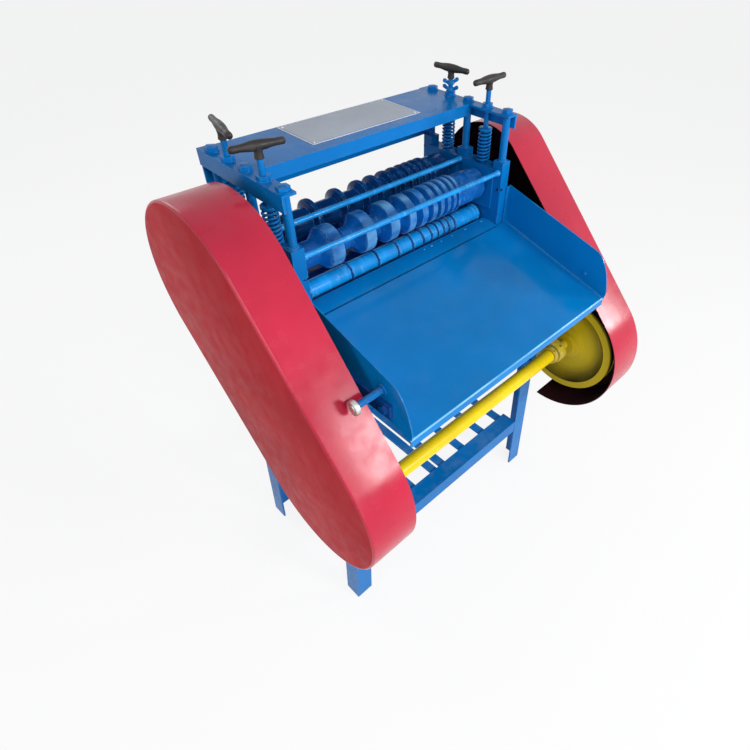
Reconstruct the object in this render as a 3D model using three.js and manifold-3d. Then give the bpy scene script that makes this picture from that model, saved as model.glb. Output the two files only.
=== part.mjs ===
// Wire stripping machine: a pair of grooved rollers over a pair of bladed rollers, on an angle-iron stand.
// Millimetres, +Z up, +X along the rollers.
// While it is built, y = 0 is the front post line and z = 0 the floor.
import * as THREE from "three";
import { mergeVertices } from "three/addons/utils/BufferGeometryUtils.js";
import Module from "manifold-3d";

const wasm = await Module();
wasm.setup();

// Clearances and the fineness of round forms
const GAP = 0.3;
const OVERRUN = 5;
const SEGMENTS = 16;
const PULLEY_SEGMENTS = 20;
const BIG_SEGMENTS = 32;
const SMALL_SEGMENTS = 10;
const HALF = 0.5;
const DEGREE = Math.PI / 180;

// Rollers across the machine: front line and rear line
const LINE_SPACING = 119;
const FRONT_LINE = LINE_SPACING * HALF;
const REAR_LINE = FRONT_LINE + LINE_SPACING;

// Stand: corner angles that lean outwards to their feet, rails between them and a low rack
const STAND_TOP = 830;
const TOP_HALF_WIDTH = 332;
const LEG_SPLAY = 44;
const STAND_FRONT = -166;
const STAND_BEYOND_PLATE = 10;
const ANGLE = 50;
const ANGLE_WALL = 5;
const CROSSBAR_TOP = 232;
const SLAT_WIDTH = 26;
const SLAT_THICK = 6;
const SLAT_PLACE_SHARES = [0.058, 0.345, 0.652, 0.926];
const MOTOR_RAIL_DROP = 180;

// Heights of the roller axes above the stand, and of the lower ones' bearings
const LOWER_AXIS_RISE = 70;
const AXIS_SPACING = 82;
const LOWER_AXIS = STAND_TOP + LOWER_AXIS_RISE;
const UPPER_AXIS = LOWER_AXIS + AXIS_SPACING;

// Side plates, their uprights, posts and the tie rods between them
const POST_INSET = 32;
const PLATE_THICK = 28;
const UPRIGHT_WIDE = 28;
const SLOT_RISE = 26;
const UPRIGHT_RISE = 65;
const POST_RADIUS = 9;
const POST_TALL = 101;
const TAPPED_HOLE = { radius: 5, ahead: 10, rise: 151, deep: 12 };
const TIE_ROD_RADIUS = 6;
const TIE_ROD_DROP = 25;
const TIE_ROD_FORWARD = { front: 4, middle: 1 };
const TIE_ROD_BOSS = { radius: 7.5, long: 8 };

// Top bars and the channel between them
const BAR_WALL = 5;
const BAR_WIDE = 30;
const BAR_DEEP = 32;
const BAR_BEYOND = { front: 2, rear: 18 };
const BOLT_RADIUS = 13;
const BOLT_TALL = 9;
const CHANNEL_AHEAD = 16;
const CHANNEL_BEYOND = 14;
const CHANNEL_LIP = 26;
const CHANNEL_BACK = 112;
const CHANNEL_WALL = 4;

// Grooved upper rollers
const UPPER_RADIUS = 44;
const PLAIN_RADIUS = 39;
const HUB_RADIUS = 26;
const HUB_INSET = 20;
const HUB_LONG = 41;
const UPPER_JOURNAL = 15;
const JOURNAL_BEYOND = 8;

// Each ridge and the groove on its right: place, rim and floor as shares of the way to the side plate,
// and the groove's depth as a share of the roller's radius
const RIDGE_SHARES = [
  { at: -0.654, rim: 0.105, floor: 0.07, deep: 0.48 },
  { at: -0.35, rim: 0.094, floor: 0.038, deep: 0.48 },
  { at: -0.112, rim: 0.087, floor: 0.024, deep: 0.455 },
  { at: 0.073, rim: 0.07, floor: 0.017, deep: 0.364 },
  { at: 0.21, rim: 0.059, floor: 0.014, deep: 0.295 },
  { at: 0.322, rim: 0.049, floor: 0.014, deep: 0.227 },
  { at: 0.406, rim: 0.038, floor: 0.014, deep: 0.205 },
  { at: 0.483, rim: 0.035, floor: 0.014, deep: 0.182 },
  { at: 0.552, rim: 0.031, floor: 0.014, deep: 0.159 },
  { at: 0.612, rim: 0.028, floor: 0.017, deep: 0.159 },
];
const PLAIN_SHARES = { from: 0.689, to: 0.937 };

// Lower rollers: a sleeve with a thin disc blade under each groove
const SLEEVE_RADIUS = 20;
const BLADE_RADIUS = 25;
const BLADE_THICK = 4.5;
const END_BLADE_INSET = 32;
const LONG_SLEEVE_RADIUS = 21.5;
const LONG_SLEEVE_SHARE = 0.678;
const LONG_SLEEVE_INSET = 7;
const END_RING = { radius: 23, long: 6 };
const LOWER_JOURNAL = 12;
const JOURNAL_HOLE = 20;

// Sliding bearing blocks, springs and pressure screws
const LIFT = 20;
const BLOCK_DROP = 20;
const BLOCK_SLACK = 0.5;
const LIP_THICK = 4.5;
const LIP_OVERLAP = 5;
const SCREW_RADIUS = 6;
const SCREW_ENTRY = 7;
const SCREW_FOOT_ROOM = 1;
const COLLAR_DROP = 52;
const COLLAR = { radius: 16, tall: 7 };
const SPRING = { middle: 13.8, wire: 2.1, curls: 6, stepsPerCurl: 8, sides: 5 };
const HANDLE_RISE = 59;
const HANDLE_MIDDLE_RADIUS = 9;
const HANDLE_TIP_RADIUS = 6.5;
const HANDLE_SHOULDER_SHARE = 0.9;
const HANDLE_STEM = { radius: 9, long: 22 };
const HANDLE_LONG = 106;
const HANDLES = [
  { name: "front_left", side: -1, line: FRONT_LINE, longShare: 0.943, turned: -11 },
  { name: "front_right", side: 1, line: FRONT_LINE, longShare: 1.038, turned: 1 },
  { name: "rear_left", side: -1, line: REAR_LINE, longShare: 1.075, turned: 77 },
  { name: "rear_right", side: 1, line: REAR_LINE, longShare: 0.962, turned: 96 },
];

// Flange bearings of the lower rollers
const FLANGE = { half: 44, tall: 25, end: 13, thick: 8 };
const FLANGE_BOSS = { radius: 22, long: 12 };
const FLANGE_BOLT = { at: 31, radius: 7, tall: 6 };

// Motor
const MOTOR_LINE = 40;
const MOTOR_RISE = 85;
const MOTOR_RADIUS = 62;
const MOTOR_FROM = 20;
const MOTOR_TO = 250;
const MOTOR_BELL = 30;
const MOTOR_FINS = { count: 16, thick: 3.5, tall: 6 };
const MOTOR_COWL = { long: 55, radius: 65 };
const COWL_EDGE_SHARE = 0.8;
const MOTOR_FOOT = { thick: 8, from: 60, to: 210, half: 70 };
const MOTOR_LEG = { thick: 12, at: 44 };
const MOTOR_NOSE = { radius: 30, long: 18 };
const MOTOR_SHAFT_RADIUS = 12;
const TERMINAL_BOX = { from: 100, to: 180, half: 36, above: 84 };

// Countershaft, its pulleys and the two belts
const SHAFT_AHEAD = 81;
const SHAFT_DROP = 239;
const SHAFT_RADIUS = 18;
const SHAFT_STUB = 12.5;
const BIG_PULLEY = { outer: 142, ring: 122, web: 104, hub: 32, wide: 34, nearDish: 22, farDish: 6 };
const PULLEY_CLEARANCE = 1;
const BELT_WIDE = 16;
const BELT_DEEP = 11;
const BELT_SUNK = 1.5;
const PULLEY_CHEEK = 6;
const MOTOR_PULLEY_RADIUS = 35;
const FEED_PULLEY_RADIUS = 46;
const FEED_PULLEY_CLEARANCE = 15;
const ROLLER_PULLEY_RADIUS = 52;

// Pillow blocks, with upright bases, and the channel brackets that carry them in front of the legs
const PILLOW = { half: 17, boss: 29, foot: 60, footThick: 12, rise: 46 };
const PILLOW_INSET = 34;
const PILLOW_BESIDE = 7;
const PILLOW_BOLT = { at: 44, radius: 8, tall: 7 };
const BRACKET_WALL = 8;
const BRACKET_BEYOND = 8;
const BRACKET_HALF = 66;

// Feed tray: a ledge between the plates, a bend, then a sloping sheet with raised sides
const TRAY_WALL = 2.5;
const LEDGE_DROP = 4;
const LEDGE_CLEARANCE = 6.5;
const LEDGE_DEEP = 20;
const TRAY_FRONT = -333;
const TRAY_DROP = 90;
const TRAY_BEYOND_PLATE = 9;
const THROAT_CLEARANCE = 1;
const TRAY_LIP = 20;
const SHOULDER_CLEARANCE = 3;
const CHEEK_TALL = 97;
const CHEEK_CORNER = 45;
const CORNER_SHARES = [
  [1, 1], [0.77, 0.965], [0.53, 0.875], [0.34, 0.755], [0.18, 0.6], [0.04, 0.4], [-0.07, 0.19],
];

// Arms that stand on the stand's side rails and hold the tray, each by one bolt through the cheek
const ARM = { tall: 34, wall: 7, ahead: 121, clearance: 6 };
const ARM_BOLT = { radius: 9, tall: 6, inset: 17 };
const CLAMP = { inset: 24, rise: 65, stub: 7, collar: 12, collarLong: 4, reach: 61, cap: 15, capTall: 10 };

// Belt guards: sheet boxes, open towards the machine. Each is the outline round two circles.
const GUARD_REACH = 129;
const GUARD_WALL = 2.5;
const LEFT_GUARD = {
  deep: 108,
  top: { behind: 20.5, rise: 58, radius: 191 },
  low: { behind: 62, rise: 52, radius: 194 },
  legStayRise: 21,
  railStayBehind: 88,
};
const RIGHT_GUARD = {
  deep: 121,
  top: { behind: 49, rise: 239, radius: 128 },
  low: { behind: 30, rise: -15, radius: 197 },
  legStayRise: 91,
  railStayBehind: 23,
};
const GUARD_STAY_RADIUS = 7;
const UPPER_STAY_RISE = 18;
const RAIL_STAY_DROP = 27;
const LEG_STAY_BACK = 25;
const RIM_NOTCH = { ahead: 39, behind: 21, tall: 60 };
const GUARD_WINDOW = { behind: 166, rise: 235, radius: 9 };

// Places that follow from the sizes above: widths
const POST_AT = TOP_HALF_WIDTH - POST_INSET;
const PLATE_INNER = POST_AT - PLATE_THICK * HALF;
const PLATE_OUTER = POST_AT + PLATE_THICK * HALF;
const TRAY_HALF = PLATE_OUTER + TRAY_BEYOND_PLATE;
const THROAT_HALF = PLATE_INNER - THROAT_CLEARANCE;
const GUARD_OUTER = TOP_HALF_WIDTH + GUARD_REACH;
const legOuter = (z) => TOP_HALF_WIDTH + ((STAND_TOP - z) * LEG_SPLAY) / STAND_TOP;

// Depths, front to rear
const UPRIGHT_LINES = [0, LINE_SPACING, 2 * LINE_SPACING];
const PLATE_FRONT = -UPRIGHT_WIDE * HALF;
const PLATE_REAR = 2 * LINE_SPACING + UPRIGHT_WIDE * HALF;
const STAND_REAR = PLATE_REAR + STAND_BEYOND_PLATE;
const SLOT_WIDE = LINE_SPACING - UPRIGHT_WIDE;
const CHANNEL_FRONT = UPRIGHT_LINES[1] - CHANNEL_AHEAD;
const CHANNEL_REAR = PLATE_REAR + CHANNEL_BEYOND;
const SHAFT_LINE = STAND_FRONT - SHAFT_AHEAD;
const LEDGE_REAR = FRONT_LINE - BLADE_RADIUS - LEDGE_CLEARANCE;
const BEND_LINE = LEDGE_REAR - LEDGE_DEEP;
const TRAY_SHOULDER = PLATE_FRONT - SHOULDER_CLEARANCE;
const ARM_FRONT = STAND_FRONT - ARM.ahead;

// Heights
const MOTOR_RAIL_TOP = STAND_TOP - MOTOR_RAIL_DROP;
const MOTOR_AXIS = MOTOR_RAIL_TOP + MOTOR_RISE;
const SHAFT_AXIS = STAND_TOP - SHAFT_DROP;
const SLOT_BOTTOM = LOWER_AXIS + SLOT_RISE;
const UPRIGHT_TOP = UPPER_AXIS + UPRIGHT_RISE;
const TIE_ROD_HEIGHT = UPRIGHT_TOP - TIE_ROD_DROP;
const BAR_UNDERSIDE = UPRIGHT_TOP + POST_TALL;
const BAR_TOP = BAR_UNDERSIDE + BAR_WALL;
const BLOCK_BOTTOM = SLOT_BOTTOM + GAP;
const BLOCK_TOP = UPRIGHT_TOP - BLOCK_DROP;
const SCREW_TIP = BLOCK_TOP - SCREW_ENTRY;
const SCREW_BORE_BOTTOM = SCREW_TIP - LIFT - SCREW_FOOT_ROOM;
const COLLAR_BOTTOM = BAR_TOP - COLLAR_DROP;
const HANDLE_HEIGHT = BAR_TOP + HANDLE_RISE;
const LEDGE_HEIGHT = LOWER_AXIS - LEDGE_DROP;
const TRAY_SLOPE = TRAY_DROP / (BEND_LINE - TRAY_FRONT);
const trayTop = (y) => LEDGE_HEIGHT - (BEND_LINE - y) * TRAY_SLOPE;
const TRAY_FRONT_HEIGHT = trayTop(TRAY_FRONT);

// Bearings, pulleys and belts along the countershaft
const PILLOW_AT = {
  left: legOuter(SHAFT_AXIS) + PILLOW_BESIDE + PILLOW.half,
  right: legOuter(SHAFT_AXIS) - PILLOW_INSET,
};
const PILLOW_BASE = SHAFT_LINE + PILLOW.rise;
const PULLEY_WIDE = BELT_WIDE + 2 * PULLEY_CHEEK;
const FEED_BELT_AT = -(PILLOW_AT.left + PILLOW.half + FEED_PULLEY_CLEARANCE + PULLEY_WIDE * HALF);
const BIG_PULLEY_FROM = legOuter(SHAFT_AXIS - BIG_PULLEY.outer) + PULLEY_CLEARANCE;
const DRIVE_BELT_AT = BIG_PULLEY_FROM + BIG_PULLEY.wide * HALF;

// Belt guard circles: the lower one goes with the countershaft, the upper one with what turns at the top
const circle = (y, z, { behind, rise, radius }) => ({ y: y + behind, z: z + rise, r: radius });
const LEFT_CIRCLES = {
  top: circle(FRONT_LINE, LOWER_AXIS, LEFT_GUARD.top),
  low: circle(SHAFT_LINE, SHAFT_AXIS, LEFT_GUARD.low),
};
const RIGHT_CIRCLES = {
  top: circle(MOTOR_LINE, MOTOR_AXIS, RIGHT_GUARD.top),
  low: circle(SHAFT_LINE, SHAFT_AXIS, RIGHT_GUARD.low),
};

// Paints and bare surfaces
const material = (color, roughness, metalness) =>
  new THREE.MeshStandardMaterial({ color, roughness, metalness });
const BLUE = material(0x0a78d0, 0.35, 0.1);
const DEEP_BLUE = material(0x0a4fae, 0.3, 0.15);
const RED = material(0xc8304c, 0.35, 0.1);
const YELLOW = material(0xd2bc10, 0.4, 0.1);
const STEEL = material(0x9aa0a6, 0.35, 0.9);
const DARK = material(0x2c2a28, 0.5, 0);
const RUBBER = material(0x1a1a1a, 0.8, 0);
const GREY = material(0x54626c, 0.5, 0.3);

const machine = new THREE.Group();

// Turns a three.js geometry into a solid.
function solid(geometry) {
  const bare = geometry.index ? geometry.toNonIndexed() : geometry;
  const points = new THREE.BufferGeometry();
  points.setAttribute("position", bare.getAttribute("position"));
  const merged = mergeVertices(points, 1e-3);
  const mesh = new wasm.Mesh({
    numProp: 3,
    vertProperties: merged.attributes.position.array,
    triVerts: new Uint32Array(merged.index.array),
  });
  return new wasm.Manifold(mesh);
}

// Adds a solid to the machine as a named piece.
function piece(name, body, paint) {
  const mesh = body.getMesh();
  const geometry = new THREE.BufferGeometry();
  geometry.setAttribute("position", new THREE.BufferAttribute(mesh.vertProperties, 3));
  geometry.setIndex(new THREE.BufferAttribute(mesh.triVerts, 1));
  geometry.computeVertexNormals();
  const made = new THREE.Mesh(geometry, paint.clone());
  made.name = name;
  machine.add(made);
}

function box(x0, x1, y0, y1, z0, z1) {
  const geometry = new THREE.BoxGeometry(x1 - x0, y1 - y0, z1 - z0);
  geometry.translate((x0 + x1) * HALF, (y0 + y1) * HALF, (z0 + z1) * HALF);
  return solid(geometry);
}

// A round bar along X from x0 to x1.
function rodX(x0, x1, y, z, radius, segments = SEGMENTS) {
  const geometry = new THREE.CylinderGeometry(radius, radius, x1 - x0, segments);
  geometry.rotateZ(90 * DEGREE);
  geometry.translate((x0 + x1) * HALF, y, z);
  return solid(geometry);
}

// A round or six-sided bar along Z from z0 to z1.
function rodZ(x, y, z0, z1, radius, segments = SEGMENTS) {
  const geometry = new THREE.CylinderGeometry(radius, radius, z1 - z0, segments);
  geometry.rotateX(90 * DEGREE);
  geometry.translate(x, y, (z0 + z1) * HALF);
  return solid(geometry);
}

// A turned form along X: each entry of the profile is [x, radius], left to right.
function turnedX(profile, y, z, segments = SEGMENTS) {
  const first = profile[0];
  const last = profile[profile.length - 1];
  const outline = [[first[0], 0], ...profile, [last[0], 0]];
  const geometry = new THREE.LatheGeometry(outline.map(([x, r]) => new THREE.Vector2(r, x)), segments);
  geometry.rotateZ(-90 * DEGREE);
  geometry.translate(0, y, z);
  return solid(geometry);
}

// A sheet or block whose outline [y, z] lies across the machine, between x0 and x1.
function across(outline, x0, x1) {
  const shape = new THREE.Shape(outline.map(([y, z]) => new THREE.Vector2(y, z)));
  const geometry = new THREE.ExtrudeGeometry(shape, { depth: x1 - x0, bevelEnabled: false });
  const toSide = new THREE.Matrix4().makeBasis(
    new THREE.Vector3(0, 1, 0),
    new THREE.Vector3(0, 0, 1),
    new THREE.Vector3(1, 0, 0),
  );
  geometry.applyMatrix4(toSide);
  geometry.translate(x0, 0, 0);
  return solid(geometry);
}

// The belt line round a set of circles {y, z, r}: the outline of their hull.
function hullOutline(circles, segments = BIG_SEGMENTS) {
  const points = [];
  for (const circle of circles) {
    for (let i = 0; i < segments; i += 1) {
      const angle = (i / segments) * 2 * Math.PI;
      points.push([circle.y + circle.r * Math.cos(angle), circle.z + circle.r * Math.sin(angle)]);
    }
  }
  points.sort((a, b) => a[0] - b[0] || a[1] - b[1]);
  const turn = (o, a, b) => (a[0] - o[0]) * (b[1] - o[1]) - (a[1] - o[1]) * (b[0] - o[0]);
  const chain = (list) => {
    const kept = [];
    for (const point of list) {
      while (kept.length > 1 && turn(kept[kept.length - 2], kept[kept.length - 1], point) <= 0) kept.pop();
      kept.push(point);
    }
    kept.pop();
    return kept;
  };
  return [...chain(points), ...chain([...points].reverse())];
}

const grown = (circles, by) => circles.map((circle) => ({ ...circle, r: circle.r + by }));

const union = (bodies) => bodies.reduce((sum, body) => sum.add(body));

// The same solid on the other side of the machine's middle.
const mirrored = (body) => body.mirror([1, 0, 0]);

const sided = (body, side) => (side > 0 ? body : mirrored(body));

const sideName = (side) => (side > 0 ? "right" : "left");

// Angle iron along Y: top flange and outer flange.
function angleAlongY(outer, y0, y1, top) {
  const flange = box(outer - ANGLE, outer, y0, y1, top - ANGLE_WALL, top);
  return flange.add(box(outer - ANGLE_WALL, outer, y0, y1, top - ANGLE, top));
}

// Angle iron along X: top flange and a flange at the face, which looks to the front or to the rear.
function angleAlongX(halfLong, face, inwards, top) {
  const depth = (amount) => [face, face + inwards * amount].sort((a, b) => a - b);
  const flange = box(-halfLong, halfLong, ...depth(ANGLE), top - ANGLE_WALL, top);
  return flange.add(box(-halfLong, halfLong, ...depth(ANGLE_WALL), top - ANGLE, top));
}

// One splayed leg: a corner angle whose foot stands further out than its top.
function leg(side, face, inwards) {
  const reach = (amount) => [face, face + inwards * amount].sort((a, b) => a - b);
  const x0 = TOP_HALF_WIDTH - ANGLE;
  const corner = box(x0, TOP_HALF_WIDTH, ...reach(ANGLE_WALL), 0, STAND_TOP)
    .add(box(TOP_HALF_WIDTH - ANGLE_WALL, TOP_HALF_WIDTH, ...reach(ANGLE), 0, STAND_TOP));
  const lean = (vertex) => {
    vertex[0] += legOuter(vertex[2]) - TOP_HALF_WIDTH;
  };
  return sided(corner.warp(lean), side);
}

function stand() {
  for (const side of [-1, 1]) {
    piece(`front_leg_${sideName(side)}`, leg(side, STAND_FRONT, 1), BLUE);
    piece(`rear_leg_${sideName(side)}`, leg(side, STAND_REAR, -1), BLUE);
    const from = STAND_FRONT + ANGLE + GAP;
    const to = STAND_REAR - ANGLE - GAP;
    const rail = angleAlongY(TOP_HALF_WIDTH, from, to, STAND_TOP);
    piece(`side_rail_${sideName(side)}`, sided(rail, side), BLUE);
    const motorRail = angleAlongY(TOP_HALF_WIDTH - ANGLE_WALL - GAP, STAND_FRONT + ANGLE_WALL + GAP,
      STAND_REAR - ANGLE_WALL - GAP, MOTOR_RAIL_TOP);
    piece(`motor_rail_${sideName(side)}`, sided(motorRail, side), BLUE);
  }
  const endRail = TOP_HALF_WIDTH - ANGLE - GAP;
  piece("front_rail", angleAlongX(endRail, STAND_FRONT, 1, STAND_TOP), BLUE);
  piece("rear_rail", angleAlongX(endRail, STAND_REAR, -1, STAND_TOP), BLUE);
  const crossHalf = legOuter(CROSSBAR_TOP) - ANGLE - GAP;
  piece("front_crossbar", angleAlongX(crossHalf, STAND_FRONT, 1, CROSSBAR_TOP), BLUE);
  piece("lower_rack", lowerRack(crossHalf), BLUE);
}

// Rear crossbar with the slats that run forward from it to rest under the front crossbar.
function lowerRack(crossHalf) {
  const top = CROSSBAR_TOP - ANGLE_WALL - GAP;
  const front = STAND_FRONT + ANGLE_WALL + GAP;
  const slat = (x) => box(x - SLAT_WIDTH * HALF, x + SLAT_WIDTH * HALF, front,
    STAND_REAR - ANGLE_WALL * HALF, top - SLAT_THICK, top);
  const places = SLAT_PLACE_SHARES.flatMap((share) => [share * crossHalf, -share * crossHalf]);
  return union([angleAlongX(crossHalf, STAND_REAR, -1, CROSSBAR_TOP), ...places.map(slat)]);
}

// Shelf on the motor rails: from in front of the motor's feet back to the rear legs, under both roller lines.
function motorShelf() {
  const half = TOP_HALF_WIDTH - ANGLE_WALL - 2 * GAP;
  const front = MOTOR_LINE - MOTOR_FOOT.half - SLAT_WIDTH;
  const rear = STAND_REAR - ANGLE_WALL - 2 * GAP;
  return box(-half, half, front, rear, MOTOR_RAIL_TOP + GAP, MOTOR_RAIL_TOP + GAP + ANGLE_WALL);
}

function sidePlate(side) {
  const outline = [[PLATE_FRONT, STAND_TOP + GAP], [PLATE_REAR, STAND_TOP + GAP], [PLATE_REAR, UPRIGHT_TOP]];
  for (const line of [...UPRIGHT_LINES].reverse()) {
    const rear = line + UPRIGHT_WIDE * HALF;
    const front = line - UPRIGHT_WIDE * HALF;
    if (rear < PLATE_REAR) {
      outline.push([rear, SLOT_BOTTOM], [rear, UPRIGHT_TOP]);
    }
    outline.push([front, UPRIGHT_TOP]);
    if (front > PLATE_FRONT) {
      outline.push([front, SLOT_BOTTOM]);
    }
  }
  let body = across(outline, PLATE_INNER, PLATE_OUTER);
  for (const line of [FRONT_LINE, REAR_LINE]) {
    const hole = rodX(PLATE_INNER - OVERRUN, PLATE_OUTER + OVERRUN, line, LOWER_AXIS, JOURNAL_HOLE);
    body = body.subtract(hole);
  }
  for (const line of UPRIGHT_LINES) {
    body = body.add(rodZ(POST_AT, line, UPRIGHT_TOP - OVERRUN, BAR_UNDERSIDE - GAP, POST_RADIUS));
  }
  const tapped = rodX(PLATE_INNER - OVERRUN, PLATE_INNER + TAPPED_HOLE.deep,
    -TAPPED_HOLE.ahead, STAND_TOP + TAPPED_HOLE.rise, TAPPED_HOLE.radius, SMALL_SEGMENTS);
  return sided(body.subtract(tapped), side);
}

function tieRod(y) {
  const end = PLATE_INNER - GAP;
  const boss = end - TIE_ROD_BOSS.long;
  const profile = [[-end, TIE_ROD_BOSS.radius], [-boss, TIE_ROD_BOSS.radius], [-boss, TIE_ROD_RADIUS],
    [boss, TIE_ROD_RADIUS], [boss, TIE_ROD_BOSS.radius], [end, TIE_ROD_BOSS.radius]];
  return turnedX(profile, y, TIE_ROD_HEIGHT, SEGMENTS);
}

// Top bar: an angle over the posts, with a bolt head over each post and a nut round each pressure screw.
function topBar(side) {
  const outer = POST_AT + BAR_WIDE * HALF;
  const front = PLATE_FRONT - BAR_BEYOND.front;
  const rear = PLATE_REAR + BAR_BEYOND.rear;
  let body = box(outer - BAR_WIDE, outer, front, rear, BAR_UNDERSIDE, BAR_TOP)
    .add(box(outer - BAR_WALL, outer, front, rear, BAR_TOP - BAR_DEEP, BAR_TOP));
  for (const line of UPRIGHT_LINES) {
    body = body.add(rodZ(POST_AT, line, BAR_UNDERSIDE, BAR_TOP + BOLT_TALL, BOLT_RADIUS, 6));
  }
  for (const line of [FRONT_LINE, REAR_LINE]) {
    body = body.add(rodZ(POST_AT, line, BAR_UNDERSIDE, BAR_TOP + BOLT_TALL, BOLT_RADIUS, 6));
    const hole = rodZ(POST_AT, line, BAR_UNDERSIDE - OVERRUN, BAR_TOP + BOLT_TALL + OVERRUN,
      SCREW_RADIUS + GAP);
    body = body.subtract(hole);
  }
  return sided(body, side);
}

function topChannel() {
  const half = POST_AT - BAR_WIDE * HALF - GAP;
  return union([
    box(-half, half, CHANNEL_FRONT, CHANNEL_REAR, BAR_TOP - CHANNEL_WALL, BAR_TOP),
    box(-half, half, CHANNEL_FRONT, CHANNEL_FRONT + CHANNEL_WALL, BAR_TOP - CHANNEL_LIP, BAR_TOP),
    box(-half, half, CHANNEL_REAR - CHANNEL_WALL, CHANNEL_REAR, BAR_TOP - CHANNEL_BACK, BAR_TOP),
  ]);
}

function head() {
  for (const side of [-1, 1]) {
    piece(`side_plate_${sideName(side)}`, sidePlate(side), BLUE);
    piece(`top_bar_${sideName(side)}`, topBar(side), BLUE);
  }
  piece("front_tie_rod", tieRod(UPRIGHT_LINES[0] - TIE_ROD_FORWARD.front), BLUE);
  piece("middle_tie_rod", tieRod(UPRIGHT_LINES[1] - TIE_ROD_FORWARD.middle), BLUE);
  piece("top_channel", topChannel(), BLUE);
}

// The grooves on a roller, each from the rim of one ridge to the rim of the next.
function grooves() {
  return RIDGE_SHARES.map((ridge, i) => {
    const from = (ridge.at + ridge.rim * HALF) * PLATE_INNER;
    const next = RIDGE_SHARES[i + 1];
    const to = (next ? next.at - next.rim * HALF : PLAIN_SHARES.from) * PLATE_INNER;
    const radius = UPPER_RADIUS * (1 - ridge.deep);
    return { from, to, middle: (from + to) * HALF, radius, floor: ridge.floor * PLATE_INNER, last: !next };
  });
}

function upperRoller(line) {
  const first = RIDGE_SHARES[0];
  const rise = (first.at - first.rim * HALF) * PLATE_INNER;
  const hub = HUB_INSET - PLATE_INNER;
  const plainEnd = PLAIN_SHARES.to * PLATE_INNER;
  const innerEnd = PLATE_INNER - LIP_THICK - 2 * GAP;
  const journalEnd = PLATE_OUTER + JOURNAL_BEYOND;
  const profile = [[-journalEnd, UPPER_JOURNAL], [hub, UPPER_JOURNAL], [hub, HUB_RADIUS],
    [hub + HUB_LONG, HUB_RADIUS], [rise, UPPER_RADIUS]];
  for (const groove of grooves()) {
    profile.push([groove.from, UPPER_RADIUS]);
    profile.push([groove.middle - groove.floor * HALF, groove.radius]);
    profile.push([groove.middle + groove.floor * HALF, groove.radius]);
    profile.push([groove.to, groove.last ? PLAIN_RADIUS : UPPER_RADIUS]);
  }
  profile.push([plainEnd, PLAIN_RADIUS], [plainEnd, HUB_RADIUS], [innerEnd, HUB_RADIUS]);
  profile.push([innerEnd, UPPER_JOURNAL], [journalEnd, UPPER_JOURNAL]);
  return turnedX(profile, line, UPPER_AXIS);
}

function lowerRoller(line) {
  const firstBlade = END_BLADE_INSET - PLATE_INNER;
  const blades = [firstBlade, ...grooves().map((groove) => groove.middle)];
  const left = FEED_BELT_AT - PULLEY_WIDE * HALF;
  const start = firstBlade - BLADE_THICK * HALF;
  const longFrom = LONG_SLEEVE_SHARE * PLATE_INNER;
  const longTo = PLATE_INNER - LONG_SLEEVE_INSET;
  const profile = [[left, LOWER_JOURNAL], [start, LOWER_JOURNAL]];
  for (const at of blades) {
    profile.push([at - BLADE_THICK * HALF, BLADE_RADIUS], [at + BLADE_THICK * HALF, BLADE_RADIUS]);
    profile.push([at + BLADE_THICK * HALF, SLEEVE_RADIUS]);
    const next = blades[blades.indexOf(at) + 1];
    if (next) {
      profile.push([next - BLADE_THICK * HALF, SLEEVE_RADIUS]);
    }
  }
  profile.push([longFrom, SLEEVE_RADIUS], [longFrom, LONG_SLEEVE_RADIUS]);
  profile.push([longTo - END_RING.long, LONG_SLEEVE_RADIUS], [longTo - END_RING.long, END_RING.radius]);
  profile.push([longTo, END_RING.radius], [longTo, LOWER_JOURNAL]);
  profile.push([PLATE_OUTER + FLANGE_BOSS.long + FLANGE.thick, LOWER_JOURNAL]);
  return turnedX(profile, line, LOWER_AXIS);
}

// Sliding block: fills its slot, with a lip over the uprights on each face.
function upperBlock(side, line) {
  const half = SLOT_WIDE * HALF - BLOCK_SLACK;
  const lipHalf = SLOT_WIDE * HALF + LIP_OVERLAP;
  const innerLip = [PLATE_INNER - GAP - LIP_THICK, PLATE_INNER - GAP];
  const outerLip = [PLATE_OUTER + GAP, PLATE_OUTER + GAP + LIP_THICK];
  let body = box(innerLip[0], outerLip[1], line - half, line + half, BLOCK_BOTTOM, BLOCK_TOP);
  for (const [x0, x1] of [innerLip, outerLip]) {
    body = body.add(box(x0, x1, line - lipHalf, line + lipHalf, BLOCK_BOTTOM, BLOCK_TOP));
  }
  const bore = rodX(innerLip[0] - OVERRUN, outerLip[1] + OVERRUN, line, UPPER_AXIS, UPPER_JOURNAL + GAP);
  const screwHole = rodZ(POST_AT, line, SCREW_BORE_BOTTOM, BLOCK_TOP + OVERRUN, SCREW_RADIUS + 2 * GAP);
  return sided(body.subtract(bore).subtract(screwHole), side);
}

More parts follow.
